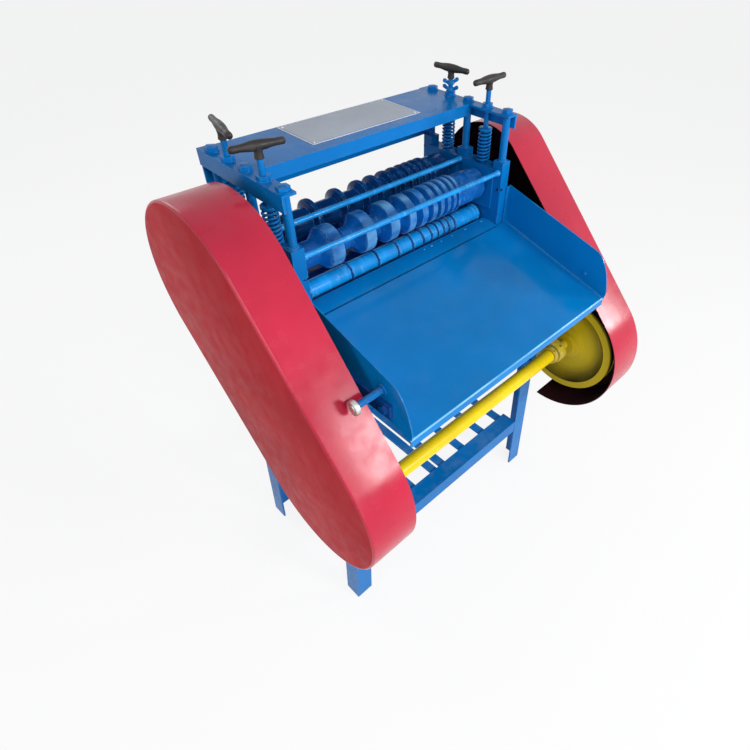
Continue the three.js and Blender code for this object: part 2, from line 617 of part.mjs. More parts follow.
// The winding of a spring, whose two ends run straight by one wire diameter.
class Winding extends THREE.Curve {
  constructor(bottom, top) {
    super();
    const straight = 2 * SPRING.wire;
    const around = 2 * Math.PI * SPRING.middle;
    const height = top - bottom - 2 * GAP - 2 * SPRING.wire;
    this.pitch = height / (SPRING.curls + (2 * straight) / around);
    this.start = bottom + GAP + SPRING.wire + (this.pitch * straight) / around;
    this.steps = SPRING.curls * SPRING.stepsPerCurl;
  }

  pointAt(angle) {
    const rise = (this.pitch * angle) / (2 * Math.PI);
    const [x, y] = [SPRING.middle * Math.cos(angle), SPRING.middle * Math.sin(angle)];
    return new THREE.Vector3(x, y, this.start + rise);
  }

  getPoint(t) {
    const step = t * (this.steps + 2) - 1;
    const turned = Math.min(Math.max(step, 0), this.steps);
    const angle = (turned / SPRING.stepsPerCurl) * 2 * Math.PI;
    const point = this.pointAt(angle);
    const beyond = (step - turned) * 2 * SPRING.wire;
    const along = new THREE.Vector3(
      -SPRING.middle * Math.sin(angle),
      SPRING.middle * Math.cos(angle),
      this.pitch / (2 * Math.PI),
    ).normalize();
    return point.addScaledVector(along, beyond);
  }
}

// Smallest distance between the surfaces of neighbouring curls.
function gapToItself(winding) {
  const rings = [];
  for (let i = 0; i <= winding.steps + 2; i += 1) {
    rings.push(winding.getPoint(i / (winding.steps + 2)));
  }
  let least = Infinity;
  rings.forEach((a, i) => {
    rings.slice(i + SPRING.stepsPerCurl * HALF).forEach((b) => {
      least = Math.min(least, a.distanceTo(b) - 2 * SPRING.wire);
    });
  });
  return least;
}

function spring(side, line) {
  const winding = new Winding(BLOCK_TOP, COLLAR_BOTTOM);
  const section = new THREE.Shape();
  for (let i = 0; i < SPRING.sides; i += 1) {
    const angle = (i / SPRING.sides) * 2 * Math.PI;
    const corner = [SPRING.wire * Math.cos(angle), SPRING.wire * Math.sin(angle)];
    if (i === 0) section.moveTo(...corner);
    else section.lineTo(...corner);
  }
  section.closePath();
  const geometry = new THREE.ExtrudeGeometry(section, {
    steps: winding.steps + 2,
    extrudePath: winding,
    bevelEnabled: false,
  });
  geometry.translate(side * POST_AT, line, 0);
  return solid(geometry);
}

// Pressure screw with its collar and T-handle.
function pressureScrew({ side, line, longShare, turned }) {
  const x = side * POST_AT;
  const half = HANDLE_LONG * longShare * HALF;
  const shoulder = half * HANDLE_SHOULDER_SHARE;
  const arm = [[-half, HANDLE_TIP_RADIUS * HALF], [-shoulder, HANDLE_TIP_RADIUS],
    [-HANDLE_STEM.radius, HANDLE_MIDDLE_RADIUS], [HANDLE_STEM.radius, HANDLE_MIDDLE_RADIUS],
    [shoulder, HANDLE_TIP_RADIUS], [half, HANDLE_TIP_RADIUS * HALF]];
  const bar = turnedX(arm, 0, 0, SMALL_SEGMENTS).rotate([0, 0, turned]).translate([x, line, HANDLE_HEIGHT]);
  return union([
    rodZ(x, line, SCREW_TIP, HANDLE_HEIGHT, SCREW_RADIUS, SMALL_SEGMENTS),
    rodZ(x, line, COLLAR_BOTTOM, COLLAR_BOTTOM + COLLAR.tall, COLLAR.radius),
    rodZ(x, line, HANDLE_HEIGHT - HANDLE_STEM.long, HANDLE_HEIGHT, HANDLE_STEM.radius, SMALL_SEGMENTS),
    bar,
  ]);
}

// Two-bolt flange bearing on the outer face of a side plate.
function lowerBearing(side, line) {
  const outline = hullOutline([
    { y: line - FLANGE.half + FLANGE.end, z: LOWER_AXIS, r: FLANGE.end },
    { y: line, z: LOWER_AXIS, r: FLANGE.tall },
    { y: line + FLANGE.half - FLANGE.end, z: LOWER_AXIS, r: FLANGE.end },
  ], SEGMENTS);
  const face = PLATE_OUTER + GAP;
  const front = face + FLANGE.thick;
  let body = across(outline, face, front)
    .add(rodX(front - OVERRUN, face + FLANGE_BOSS.long, line, LOWER_AXIS, FLANGE_BOSS.radius));
  for (const way of [-1, 1]) {
    const y = line + way * FLANGE_BOLT.at;
    body = body.add(rodX(front - OVERRUN, front + FLANGE_BOLT.tall, y, LOWER_AXIS, FLANGE_BOLT.radius, 6));
  }
  const hole = rodX(face - OVERRUN, face + FLANGE_BOSS.long + OVERRUN, line, LOWER_AXIS, LOWER_JOURNAL + GAP);
  return sided(body.subtract(hole), side);
}

function rollers() {
  for (const [name, line] of [["front", FRONT_LINE], ["rear", REAR_LINE]]) {
    piece(`${name}_grooved_roller`, upperRoller(line), BLUE);
    piece(`${name}_blade_roller`, lowerRoller(line), DEEP_BLUE);
    for (const side of [-1, 1]) {
      const place = `${name}_${sideName(side)}`;
      piece(`bearing_block_${place}`, upperBlock(side, line), DEEP_BLUE);
      piece(`pressure_spring_${place}`, spring(side, line), DEEP_BLUE);
      piece(`flange_bearing_${place}`, lowerBearing(side, line), BLUE);
    }
  }
  for (const handle of HANDLES) {
    piece(`pressure_screw_${handle.name}`, pressureScrew(handle), DARK);
  }
  console.log(`spring gap to itself ${gapToItself(new Winding(BLOCK_TOP, COLLAR_BOTTOM)).toFixed(2)} mm`);
}

// The round housing of the motor between its end bells, with cooling fins along it.
function finnedHousing() {
  const root = MOTOR_RADIUS - MOTOR_FINS.tall;
  const outline = [];
  for (let i = 0; i < MOTOR_FINS.count; i += 1) {
    const middle = (i / MOTOR_FINS.count) * 2 * Math.PI;
    const corner = (radius, way) => {
      const angle = middle + (way * MOTOR_FINS.thick * HALF) / radius;
      return [MOTOR_LINE + radius * Math.cos(angle), MOTOR_AXIS + radius * Math.sin(angle)];
    };
    outline.push(corner(root, -1), corner(MOTOR_RADIUS, -1), corner(MOTOR_RADIUS, 1), corner(root, 1));
  }
  return across(outline, MOTOR_FROM + MOTOR_BELL * HALF, MOTOR_TO - MOTOR_BELL * HALF);
}

function motorBody() {
  const y = MOTOR_LINE;
  const footTop = MOTOR_RAIL_TOP + ANGLE_WALL + 2 * GAP + MOTOR_FOOT.thick;
  const foot = box(MOTOR_FOOT.from, MOTOR_FOOT.to, y - MOTOR_FOOT.half, y + MOTOR_FOOT.half,
    footTop - MOTOR_FOOT.thick, footTop);
  const legs = [-1, 1].map((way) => {
    const at = y + way * MOTOR_LEG.at;
    return box(MOTOR_FOOT.from, MOTOR_FOOT.to, at - MOTOR_LEG.thick * HALF, at + MOTOR_LEG.thick * HALF,
      footTop - MOTOR_FOOT.thick, MOTOR_AXIS);
  });
  const terminals = box(TERMINAL_BOX.from, TERMINAL_BOX.to, y - TERMINAL_BOX.half, y + TERMINAL_BOX.half,
    MOTOR_AXIS, MOTOR_AXIS + TERMINAL_BOX.above);
  const bells = [rodX(MOTOR_FROM, MOTOR_FROM + MOTOR_BELL, y, MOTOR_AXIS, MOTOR_RADIUS),
    rodX(MOTOR_TO - MOTOR_BELL, MOTOR_TO, y, MOTOR_AXIS, MOTOR_RADIUS)];
  const noseEnd = MOTOR_TO + MOTOR_NOSE.long;
  const nose = rodX(MOTOR_TO - OVERRUN, noseEnd, y, MOTOR_AXIS, MOTOR_NOSE.radius);
  const bore = rodX(MOTOR_TO - OVERRUN, noseEnd + OVERRUN, y, MOTOR_AXIS, MOTOR_SHAFT_RADIUS + GAP);
  return union([finnedHousing(), ...bells, nose, foot, ...legs, terminals]).subtract(bore);
}

function motorCowl() {
  const end = MOTOR_FROM - GAP;
  const start = end - MOTOR_COWL.long;
  const profile = [[start, MOTOR_COWL.radius * COWL_EDGE_SHARE],
    [end - MOTOR_COWL.long * COWL_EDGE_SHARE, MOTOR_COWL.radius], [end, MOTOR_COWL.radius]];
  return turnedX(profile, MOTOR_LINE, MOTOR_AXIS);
}

// Floor of a belt groove: clear of the flats on the inside of the belt, however the pulley is turned.
const grooveFloor = (radius) => (radius - BELT_SUNK - BELT_DEEP) * Math.cos(Math.PI / BIG_SEGMENTS) - GAP;

// Belt pulley profile: cheeks from one face to the other, and a groove that the belt sinks into.
function pulleyProfile(from, to, radius) {
  const middle = (from + to) * HALF;
  const groove = BELT_WIDE * HALF + GAP;
  const floor = grooveFloor(radius);
  return [[from, radius], [middle - groove, radius], [middle - groove, floor],
    [middle + groove, floor], [middle + groove, radius], [to, radius]];
}

// The big pulley is dished: a thick rim, a coned wall, a thin web and a hub.
function bigPulley() {
  const from = BIG_PULLEY_FROM;
  const to = from + BIG_PULLEY.wide;
  const turned = (profile) => turnedX(profile, SHAFT_LINE, SHAFT_AXIS, BIG_SEGMENTS);
  const rim = turned(pulleyProfile(from, to, BIG_PULLEY.outer));
  const nearDish = turned([[from - OVERRUN, BIG_PULLEY.ring], [from, BIG_PULLEY.ring],
    [from + BIG_PULLEY.nearDish, BIG_PULLEY.web]]);
  const farDish = turned([[to - BIG_PULLEY.farDish, BIG_PULLEY.web], [to, BIG_PULLEY.ring],
    [to + OVERRUN, BIG_PULLEY.ring]]);
  const hub = rodX(from, to, SHAFT_LINE, SHAFT_AXIS, BIG_PULLEY.hub);
  const hole = rodX(from - OVERRUN, to + OVERRUN, SHAFT_LINE, SHAFT_AXIS, SHAFT_STUB + GAP);
  return rim.subtract(nearDish).subtract(farDish).add(hub).subtract(hole);
}

// The countershaft, thinner in its bearings and pulleys than between them.
function countershaft() {
  const leftShoulder = -(PILLOW_AT.left - PILLOW.half - GAP);
  const rightShoulder = PILLOW_AT.right - PILLOW.half - GAP;
  const left = FEED_BELT_AT - PULLEY_WIDE * HALF;
  const right = BIG_PULLEY_FROM + BIG_PULLEY.wide + GAP;
  const profile = [[left, SHAFT_STUB], [leftShoulder, SHAFT_STUB], [leftShoulder, SHAFT_RADIUS],
    [rightShoulder, SHAFT_RADIUS], [rightShoulder, SHAFT_STUB], [right, SHAFT_STUB]];
  return turnedX(profile, SHAFT_LINE, SHAFT_AXIS);
}

function smallPulley(middle, radius, y, z, bore) {
  const from = middle - PULLEY_WIDE * HALF;
  const to = middle + PULLEY_WIDE * HALF;
  const hole = rodX(from - OVERRUN, to + OVERRUN, y, z, bore + GAP);
  return turnedX(pulleyProfile(from, to, radius), y, z, PULLEY_SEGMENTS).subtract(hole);
}

function belt(middle, circles) {
  const outside = across(hullOutline(grown(circles, -BELT_SUNK)),
    middle - BELT_WIDE * HALF, middle + BELT_WIDE * HALF);
  const inside = across(hullOutline(grown(circles, -BELT_SUNK - BELT_DEEP)),
    middle - BELT_WIDE * HALF - OVERRUN, middle + BELT_WIDE * HALF + OVERRUN);
  return outside.subtract(inside);
}

const pillowPlace = (side) => PILLOW_AT[sideName(side)];

// Pillow block: a round housing on an upright base, with a bolt above and below the shaft.
function pillowBlock(side) {
  const x0 = pillowPlace(side) - PILLOW.half;
  const x1 = pillowPlace(side) + PILLOW.half;
  const baseFront = PILLOW_BASE - PILLOW.footThick;
  const corner = PILLOW.footThick * HALF;
  const housing = across(hullOutline([
    { y: SHAFT_LINE, z: SHAFT_AXIS, r: PILLOW.boss },
    { y: PILLOW_BASE - corner, z: SHAFT_AXIS - PILLOW.boss, r: corner },
    { y: PILLOW_BASE - corner, z: SHAFT_AXIS + PILLOW.boss, r: corner },
  ], SEGMENTS), x0, x1);
  const foot = box(x0, x1, baseFront, PILLOW_BASE, SHAFT_AXIS - PILLOW.foot, SHAFT_AXIS + PILLOW.foot);
  const bolts = [-1, 1].map((way) => {
    const bolt = rodZ(0, 0, -PILLOW_BOLT.tall, corner, PILLOW_BOLT.radius, 6).rotate([-90, 0, 0]);
    return bolt.translate([pillowPlace(side), baseFront, SHAFT_AXIS + way * PILLOW_BOLT.at]);
  });
  const hole = rodX(x0 - OVERRUN, x1 + OVERRUN, SHAFT_LINE, SHAFT_AXIS, SHAFT_STUB + GAP);
  return sided(union([housing, foot, ...bolts]).subtract(hole), side);
}

// Bracket in front of a leg: a channel with its web under the pillow block and its flanges on the leg.
function shaftBracket(side) {
  const x0 = legOuter(SHAFT_AXIS) - ANGLE - BRACKET_BEYOND;
  const x1 = pillowPlace(side) + PILLOW.half + BRACKET_BEYOND;
  const front = PILLOW_BASE + GAP;
  const back = STAND_FRONT - GAP;
  const low = SHAFT_AXIS - BRACKET_HALF;
  const high = SHAFT_AXIS + BRACKET_HALF;
  return sided(union([
    box(x0, x1, front, front + BRACKET_WALL, low, high),
    box(x0, x1, front, back, low, low + BRACKET_WALL),
    box(x0, x1, front, back, high - BRACKET_WALL, high),
  ]), side);
}

function drive() {
  piece("motor", motorBody(), GREY);
  piece("motor_fan_cover", motorCowl(), GREY);
  piece("motor_shelf", motorShelf(), BLUE);
  piece("motor_pulley", motorPulleyAndShaft(), STEEL);
  piece("countershaft", countershaft(), YELLOW);
  piece("countershaft_pulley", bigPulley(), YELLOW);
  const feedPulley = smallPulley(FEED_BELT_AT, FEED_PULLEY_RADIUS, SHAFT_LINE, SHAFT_AXIS, SHAFT_STUB);
  piece("feed_pulley", feedPulley, STEEL);
  const lines = [["front", FRONT_LINE], ["rear", REAR_LINE]];
  for (const [name, line] of lines) {
    const pulley = smallPulley(FEED_BELT_AT, ROLLER_PULLEY_RADIUS, line, LOWER_AXIS, LOWER_JOURNAL);
    piece(`roller_pulley_${name}`, pulley, STEEL);
  }
  piece("feed_belt", belt(FEED_BELT_AT, [
    { y: SHAFT_LINE, z: SHAFT_AXIS, r: FEED_PULLEY_RADIUS },
    ...lines.map(([, line]) => ({ y: line, z: LOWER_AXIS, r: ROLLER_PULLEY_RADIUS })),
  ]), RUBBER);
  piece("drive_belt", belt(DRIVE_BELT_AT, [
    { y: SHAFT_LINE, z: SHAFT_AXIS, r: BIG_PULLEY.outer },
    { y: MOTOR_LINE, z: MOTOR_AXIS, r: MOTOR_PULLEY_RADIUS },
  ]), RUBBER);
  for (const side of [-1, 1]) {
    piece(`pillow_block_${sideName(side)}`, pillowBlock(side), YELLOW);
    piece(`shaft_bracket_${sideName(side)}`, shaftBracket(side), BLUE);
  }
}

// The motor's shaft and the pulley on its end turn as one piece.
function motorPulleyAndShaft() {
  const profile = pulleyProfile(DRIVE_BELT_AT - PULLEY_WIDE * HALF, DRIVE_BELT_AT + PULLEY_WIDE * HALF,
    MOTOR_PULLEY_RADIUS);
  const pulley = turnedX(profile, MOTOR_LINE, MOTOR_AXIS, PULLEY_SEGMENTS);
  const shaft = rodX(MOTOR_TO - OVERRUN + GAP, DRIVE_BELT_AT, MOTOR_LINE, MOTOR_AXIS, MOTOR_SHAFT_RADIUS);
  return pulley.add(shaft);
}

// Feed tray: ledge, sloping sheet with a front lip, and a raised cheek on each side.
function tray() {
  const under = (y) => trayTop(y) - TRAY_WALL;
  const lap = TRAY_SHOULDER - OVERRUN;
  const lipBack = TRAY_FRONT + TRAY_WALL;
  const lipBottom = TRAY_FRONT_HEIGHT - TRAY_LIP;
  const throat = across([[LEDGE_REAR, LEDGE_HEIGHT], [BEND_LINE, LEDGE_HEIGHT], [lap, trayTop(lap)],
    [lap, under(lap)], [BEND_LINE, LEDGE_HEIGHT - TRAY_WALL], [LEDGE_REAR, LEDGE_HEIGHT - TRAY_WALL]],
  -THROAT_HALF, THROAT_HALF);
  const sheet = across([[TRAY_SHOULDER, trayTop(TRAY_SHOULDER)], [TRAY_FRONT, TRAY_FRONT_HEIGHT],
    [TRAY_FRONT, lipBottom], [lipBack, lipBottom], [lipBack, under(lipBack)],
    [TRAY_SHOULDER, under(TRAY_SHOULDER)]], -TRAY_HALF, TRAY_HALF);
  const corner = CORNER_SHARES.map(([back, rise]) => {
    const y = TRAY_FRONT + back * CHEEK_CORNER;
    return [y, trayTop(y) + rise * CHEEK_TALL];
  });
  const cheekOutline = [[TRAY_SHOULDER, under(TRAY_SHOULDER)],
    [TRAY_SHOULDER, trayTop(TRAY_SHOULDER) + CHEEK_TALL], ...corner, [TRAY_FRONT, under(TRAY_FRONT)]];
  const cheek = (side) => sided(across(cheekOutline, TRAY_HALF - TRAY_WALL, TRAY_HALF), side);
  return union([throat, sheet, cheek(-1), cheek(1)]);
}

// Arm along the outside of a cheek: a flat bar on edge, on the side rail of the stand, bolted to the cheek.
function trayArm(side) {
  const inner = TRAY_HALF + GAP;
  const low = STAND_TOP + GAP;
  const bar = box(inner, inner + ARM.wall, ARM_FRONT, PLATE_FRONT - ARM.clearance, low, low + ARM.tall);
  const bolt = rodX(inner, inner + ARM.wall + ARM_BOLT.tall, ARM_FRONT + ARM_BOLT.inset,
    low + ARM.tall * HALF, ARM_BOLT.radius, 6);
  return sided(bar.add(bolt), side);
}

// Clamp screw on the left cheek of the tray: a stub with a collar and a domed cap.
function clampScrew() {
  const start = TRAY_HALF + GAP;
  const neck = start + CLAMP.collarLong;
  const cap = start + CLAMP.reach;
  const y = ARM_FRONT + CLAMP.inset;
  const profile = [[start, CLAMP.collar], [neck, CLAMP.collar], [neck, CLAMP.stub], [cap, CLAMP.stub],
    [cap, CLAMP.cap], [cap + CLAMP.capTall * HALF, CLAMP.cap], [cap + CLAMP.capTall, CLAMP.stub]];
  return mirrored(turnedX(profile, y, trayTop(y) + CLAMP.rise));
}

// A guard: outer plate and rim, on stays to the side plate, the side rail and the leg.
function guardShell({ top, low }, deep) {
  const outline = (inset) => hullOutline(grown([top, low], -inset));
  const outside = across(outline(0), GUARD_OUTER - deep, GUARD_OUTER);
  const inside = across(outline(GUARD_WALL), GUARD_OUTER - deep - OVERRUN, GUARD_OUTER - GUARD_WALL);
  return outside.subtract(inside);
}

function stay(x0, y, z) {
  return rodX(x0 + GAP, GUARD_OUTER - GUARD_WALL * HALF, y, z, GUARD_STAY_RADIUS, SMALL_SEGMENTS);
}

function guardStays({ top, low }, { legStayRise, railStayBehind }) {
  const legStay = low.z - low.r + legStayRise;
  return [
    stay(PLATE_OUTER, UPRIGHT_LINES[1], UPPER_AXIS + UPPER_STAY_RISE),
    stay(TOP_HALF_WIDTH, top.y + railStayBehind, STAND_TOP - RAIL_STAY_DROP),
    stay(legOuter(legStay - GUARD_STAY_RADIUS), STAND_FRONT + LEG_STAY_BACK, legStay),
  ];
}

function guards() {
  const leftBody = union([guardShell(LEFT_CIRCLES, LEFT_GUARD.deep), ...guardStays(LEFT_CIRCLES, LEFT_GUARD)]);
  piece("guard_left", mirrored(leftBody), RED);
  const lowest = RIGHT_CIRCLES.low.z - RIGHT_CIRCLES.low.r;
  const notch = box(GUARD_OUTER - RIGHT_GUARD.deep - OVERRUN, GUARD_OUTER - GUARD_WALL,
    STAND_FRONT - RIM_NOTCH.ahead, STAND_FRONT + ANGLE + RIM_NOTCH.behind,
    lowest - OVERRUN, lowest + RIM_NOTCH.tall);
  const window = rodX(GUARD_OUTER - GUARD_WALL - OVERRUN, GUARD_OUTER + OVERRUN,
    SHAFT_LINE + GUARD_WINDOW.behind, SHAFT_AXIS + GUARD_WINDOW.rise, GUARD_WINDOW.radius);
  const rightShell = guardShell(RIGHT_CIRCLES, RIGHT_GUARD.deep).subtract(notch).subtract(window);
  piece("guard_right", union([rightShell, ...guardStays(RIGHT_CIRCLES, RIGHT_GUARD)]), RED);
}

stand();
head();
rollers();
drive();
piece("feed_tray", tray(), BLUE);
piece("tray_arm_left", trayArm(-1), BLUE);
piece("tray_arm_right", trayArm(1), BLUE);
piece("tray_clamp_screw", clampScrew(), STEEL);
guards();

// The finished part stands on the floor with its middle over the origin.
const bounds = new THREE.Box3().setFromObject(machine);
machine.position.y = -(bounds.min.y + bounds.max.y) * HALF;
console.log(`moved by ${machine.position.y.toFixed(3)} mm in y`);

export default machine;
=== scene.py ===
import math
from types import SimpleNamespace as Sizes
import bmesh
import bpy
from mathutils import Matrix, Vector


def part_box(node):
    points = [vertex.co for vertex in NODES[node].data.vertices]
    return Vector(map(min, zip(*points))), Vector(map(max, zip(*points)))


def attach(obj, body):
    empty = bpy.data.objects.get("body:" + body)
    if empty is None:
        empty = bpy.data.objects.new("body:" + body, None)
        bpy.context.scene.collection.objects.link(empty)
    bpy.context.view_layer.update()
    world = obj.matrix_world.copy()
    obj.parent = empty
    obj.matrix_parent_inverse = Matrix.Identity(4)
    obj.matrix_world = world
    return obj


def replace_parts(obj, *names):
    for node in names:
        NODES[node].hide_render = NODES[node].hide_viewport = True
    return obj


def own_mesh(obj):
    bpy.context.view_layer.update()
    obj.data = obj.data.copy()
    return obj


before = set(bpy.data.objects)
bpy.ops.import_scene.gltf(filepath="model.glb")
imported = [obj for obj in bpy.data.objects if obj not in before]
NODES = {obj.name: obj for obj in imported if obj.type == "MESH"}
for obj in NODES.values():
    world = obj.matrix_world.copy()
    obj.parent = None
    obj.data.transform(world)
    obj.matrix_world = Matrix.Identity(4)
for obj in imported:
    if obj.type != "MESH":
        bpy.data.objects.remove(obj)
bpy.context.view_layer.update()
SIDES = (("left", -1), ("right", 1))
WAYS = (-1, 1)
LINES = ("front", "rear")
MM = 0.001

# Camera, in metres and degrees, in the frame of the solids
CAMERA_PLACE = Vector((-0.749, -0.7065, 1.548))
CAMERA_YAW = 46.41
CAMERA_PITCH = 43.37
CAMERA_ROLL = -1.75
SENSOR = 36.0
LENS = 25.68
CAMERA_SHIFT = (-0.072, 0.0027)

# Stage and lights, in metres; a light is its place, its target, its size and its power
FLOOR_HALF = 12.0
FLOOR_GLOW = 0.85
WORLD_LIGHT = 0.27
LIGHTS = {
    "key_light": ((-1.2, -2.4, 3.2), (0, 0, 0.8), 1.0, 38),
    "front_light": ((0.7, -2.8, 1.9), (0, 0, 0.8), 0.7, 46),
    "low_light": ((-0.9, -2.6, 1.05), (-0.1, 0, 0.9), 1.6, 18),
    "side_light": ((2.7, -2.0, 1.6), (0, 0, 0.8), 0.5, 26),
    "left_light": ((-3.0, -0.2, 1.7), (-0.4, 0, 0.8), 1.4, 16),
    "back_light": ((-0.6, 2.8, 2.6), (0, 0, 0.8), 1.6, 22),
}

# Base colours
BLUE = (0.002, 0.160, 0.480)
TRAY_BLUE = (0.001, 0.188, 0.520)
# the rear roller's blue is the front's at about half its brightness: a shaded copy, painted shade for the
# roller set behind
ROLLER_BLUES = {"front": (0.002, 0.105, 0.400), "rear": (0.003, 0.055, 0.210)}
SLEEVE_BLUE = (0.005, 0.270, 0.700)
# darker blue, also used as painted shade on the sheet under the rollers
DARK_BLUE = (0.002, 0.072, 0.300)
RED = (0.490, 0.014, 0.046)
# the guard's outer plate: a shaded copy of the red paint, with less blue, for how light falls on the plate
PLATE_RED = (0.480, 0.012, 0.022)
# near-black maroon: painted shade inside the guards, on the inside of the sheets and on the stays
GUARD_INSIDE_SHADE = (0.030, 0.006, 0.007)
YELLOW = (0.820, 0.590, 0.005)
# the yellow at two thirds of its brightness: a shaded copy, painted shade on the big pulley, the pillow blocks
# and the shaft collars
YELLOW_IN_SHADE = (0.540, 0.390, 0.005)
GREY = (0.130, 0.170, 0.200)
STEEL = (0.560, 0.560, 0.560)
ZINC = (0.600, 0.620, 0.600)
DARK = (0.016, 0.014, 0.014)
BLACK = (0.010, 0.010, 0.011)
BARE_PLATE = (0.400, 0.450, 0.530)
PLATE_BORDER = (0.620, 0.650, 0.700)
BARE = (0.200, 0.180, 0.160)
DUST = (0.300, 0.330, 0.370)
# colour of the painted shade in the dish of the big pulley
DISH_SHADE_COLOUR = (0.030, 0.024, 0.006)
SCUFF = (0.200, 0.500, 0.760)
# pale colour of the painted highlight along the tray's folded lip
HIGHLIGHT_PALE = (0.330, 0.680, 0.900)
CAST = (0.420, 0.430, 0.300)
FLOOR = (0.86, 0.86, 0.87)
SKY = (0.88, 0.93, 1.0)

# Fineness of round pieces, and the angles in degrees from which an edge is sharp
FINE_ROUND = 128
ROUND = 96
MIDDLE_ROUND = 64
MODEST_ROUND = 48
SMALL_ROUND = 32
SMALLER_ROUND = 24
TINY_ROUND = 16
FOLD_STEPS = 5
CURVE_STEPS = 5
FLANK_STEPS = 6
HALVINGS = 40
SHARP = 35.0
SHARP_ON_SHEETS = 30
SHARP_ON_THREADS = 50
SHARP_ON_WELDS = 60

# Everything below is in millimetres.
# Grooved rollers: a ridge is its centre and rim width, then the depth and floor of the groove after it
RIDGES = {
    "front": (
        (-187, 30, 21, 20), (-100, 27, 21, 11), (-32, 25, 20, 7), (21, 20, 16, 5), (60, 17, 13, 4),
        (92, 14, 10, 4), (116, 11, 9, 4), (138, 10, 8, 4), (158, 9, 7, 4), (175, 8, 7, 5),
    ),
    "rear": (
        (-141, 11, 15, 50), (-64, 11, 15, 38), (1, 11, 14, 19), (43, 10, 12, 17), (82, 10, 11, 10),
        (112, 9, 10, 9), (138, 8, 8, 7), (160, 8, 7, 7), (181, 8, 7, 6), (201, 8, 7, 5),
    ),
}
LEADS = {"front": ((-225, 26),), "rear": ((-225, 26), (-223, 29), (-152, 29))}
PLAIN_FROM = {"front": 197, "rear": 217}
RIDGE_RADIUS = 44
ROLLER_WEAR_FROM = 36
RIM_ROUNDING = 2.0
FLANK_HOLLOW = 0.08
PLAIN = Sizes(end=268, radius=39)
HUB = Sizes(start=-266, radius=26)
UPPER_JOURNAL = 15
UPPER_END = 322
INNER_END = 280.6

# Blade rollers
SLEEVE_RADIUS = 20
BLADE = Sizes(radius=25, thick=4.5, edge=0.4, bevel=2.2, first_at=-254)
SLEEVE_RIM = Sizes(half=2.0, top_half=1.4, from_blade=2.4)
LONG_SLEEVE = Sizes(start=194, end=279, radius=21.5, ring=23, ring_long=6)
LOWER_JOURNAL = 12

# Springs and screws
SPRING = Sizes(middle=13.8, wire=2.6, curls=8, sides=10, steps=24)
SCREW_RADIUS = 6
THREAD_PITCH = 2.5
THREAD_DEPTH = 0.5
COLLAR = Sizes(bottom=1101, tall=7, radius=16)
HANDLE = Sizes(height=1212, middle=9, tip=6.5, stem=22)
HANDLES = {
    "front_left": (100, -11), "front_right": (110, 1), "rear_left": (114, 77), "rear_right": (102, 96),
}
WING_NUTS = ((1163, 20), (1178, 65))

# Head: posts, bars, channel and its plate
POST_AT = 300
POST_INSET = 14
POST_RADIUS = 9
PLATE_TOP = 1047
PLATE_INNER = 286
BAR_TOP = 1153
BOLT_TOP = 1162
WASHER = Sizes(radius=14.8, thick=1.6)
SKIRT = Sizes(wall=4, beyond_post=14.5, under=3)
TAPPED = ((65.8, 979.9, 3.4), (320.5, 1017.5, 3.0))
NAME_PLATE = Sizes(x=(-140, 155), y=(205.5, 333.5), thick=0.8, border=4, line=1.2, rivet_inset=9)
TIE_ROD = ((0, 6.5), (0.8, 7.5), (7, 7.5), (8, 6.6), (9, 6))
FLANGE = Sizes(end_at=31, end=13, tall=25, thick=8, boss=22, boss_long=12, bolt=(7, 6))

# Guards: circles as y, z and radius
GUARD_OUTER = 461
GUARD_WALL = 2.5
GUARD_FOLD = 4.5
STAY_RADIUS = 7
GUARDS = {
    "left": {
        "circles": ((151.5, 958, 191), (-113.5, 643, 194)), "edge": 353,
        "stays": ((314.3, 190.5, 1000), (332.3, 239.5, 803), (351.8, -69.5, 470)),
    },
    "right": {
        "circles": ((160.5, 974, 128), (-145.5, 576, 197)), "edge": 340,
        "stays": ((314.3, 190.5, 1000), (332.3, 183.5, 803), (351.8, -69.5, 470)),
        "notch": (-133.5, -23.5), "window": (-9.5, 826, 9),
    },
}

# Drive
BELT = Sizes(half=8, inner_half=5.6, sunk=1.5, deep=11)
GROOVE = Sizes(half=9.2, floor_half=6.2)
BIG_PULLEY = Sizes(radius=142, ring=122, web=104, boss=46, hub=32, dish=22, far_dish=6)
# radius from which the big pulley's dish darkens with painted shade
DISH_SHADE_FROM = 78
SHAFT_STUB = 12.5
SHAFT_RADIUS = 18
COLLAR_LONG = 13
COLLAR_SCREW_LEAN = 35
BORE_GAP = 0.3
SMALL_PULLEYS = {
    "feed_pulley": (46, SHAFT_STUB, "countershaft"),
    "roller_pulley_front": (52, LOWER_JOURNAL, "front_lower_roller"),
    "roller_pulley_rear": (52, LOWER_JOURNAL, "rear_lower_roller"),
}
PILLOW = Sizes(half=17, boss=29, foot=60, foot_thick=12, bolt_at=44, bolt=(8, 7))
RACE = ((0, SHAFT_STUB + BORE_GAP), (0, 18.5), (1, 19.5), (5, 20), (4, 24))
NIPPLE = ((0, 4), (3, 4), (3.2, 2.6), (6, 2.4), (6.4, 3.2), (8.4, 3), (9, 1.6))
NIPPLE_LEAN = 32

# Motor
MOTOR = Sizes(start=20, end=250, bell=30, radius=62, root=55, fins=34, fin_thick=3, nose=30)
MOTOR_FOOT = Sizes(start=60, end=210, half=70, thick=8, leg_at=44, leg_half=6, leg_top=30, bolt_at=60,
                   bolt_inset=16, bolt=(7, 5))
CAST_EDGE = 1.5
MOTOR_PULLEY = Sizes(radius=35, half=14, hub=20, shaft=12)
TERMINAL_BOX = Sizes(start=100, end=180, half=36, above=84, screw_inset=8, gland_at=72)
GLAND = ((0, 11), (5, 11), (5.2, 9), (12, 8.6), (13, 7), (13, 4), (9, 4), (9, 1))
COWL = Sizes(radius=65, edge=52, rings=6, first_ring=46, ring_step=7)
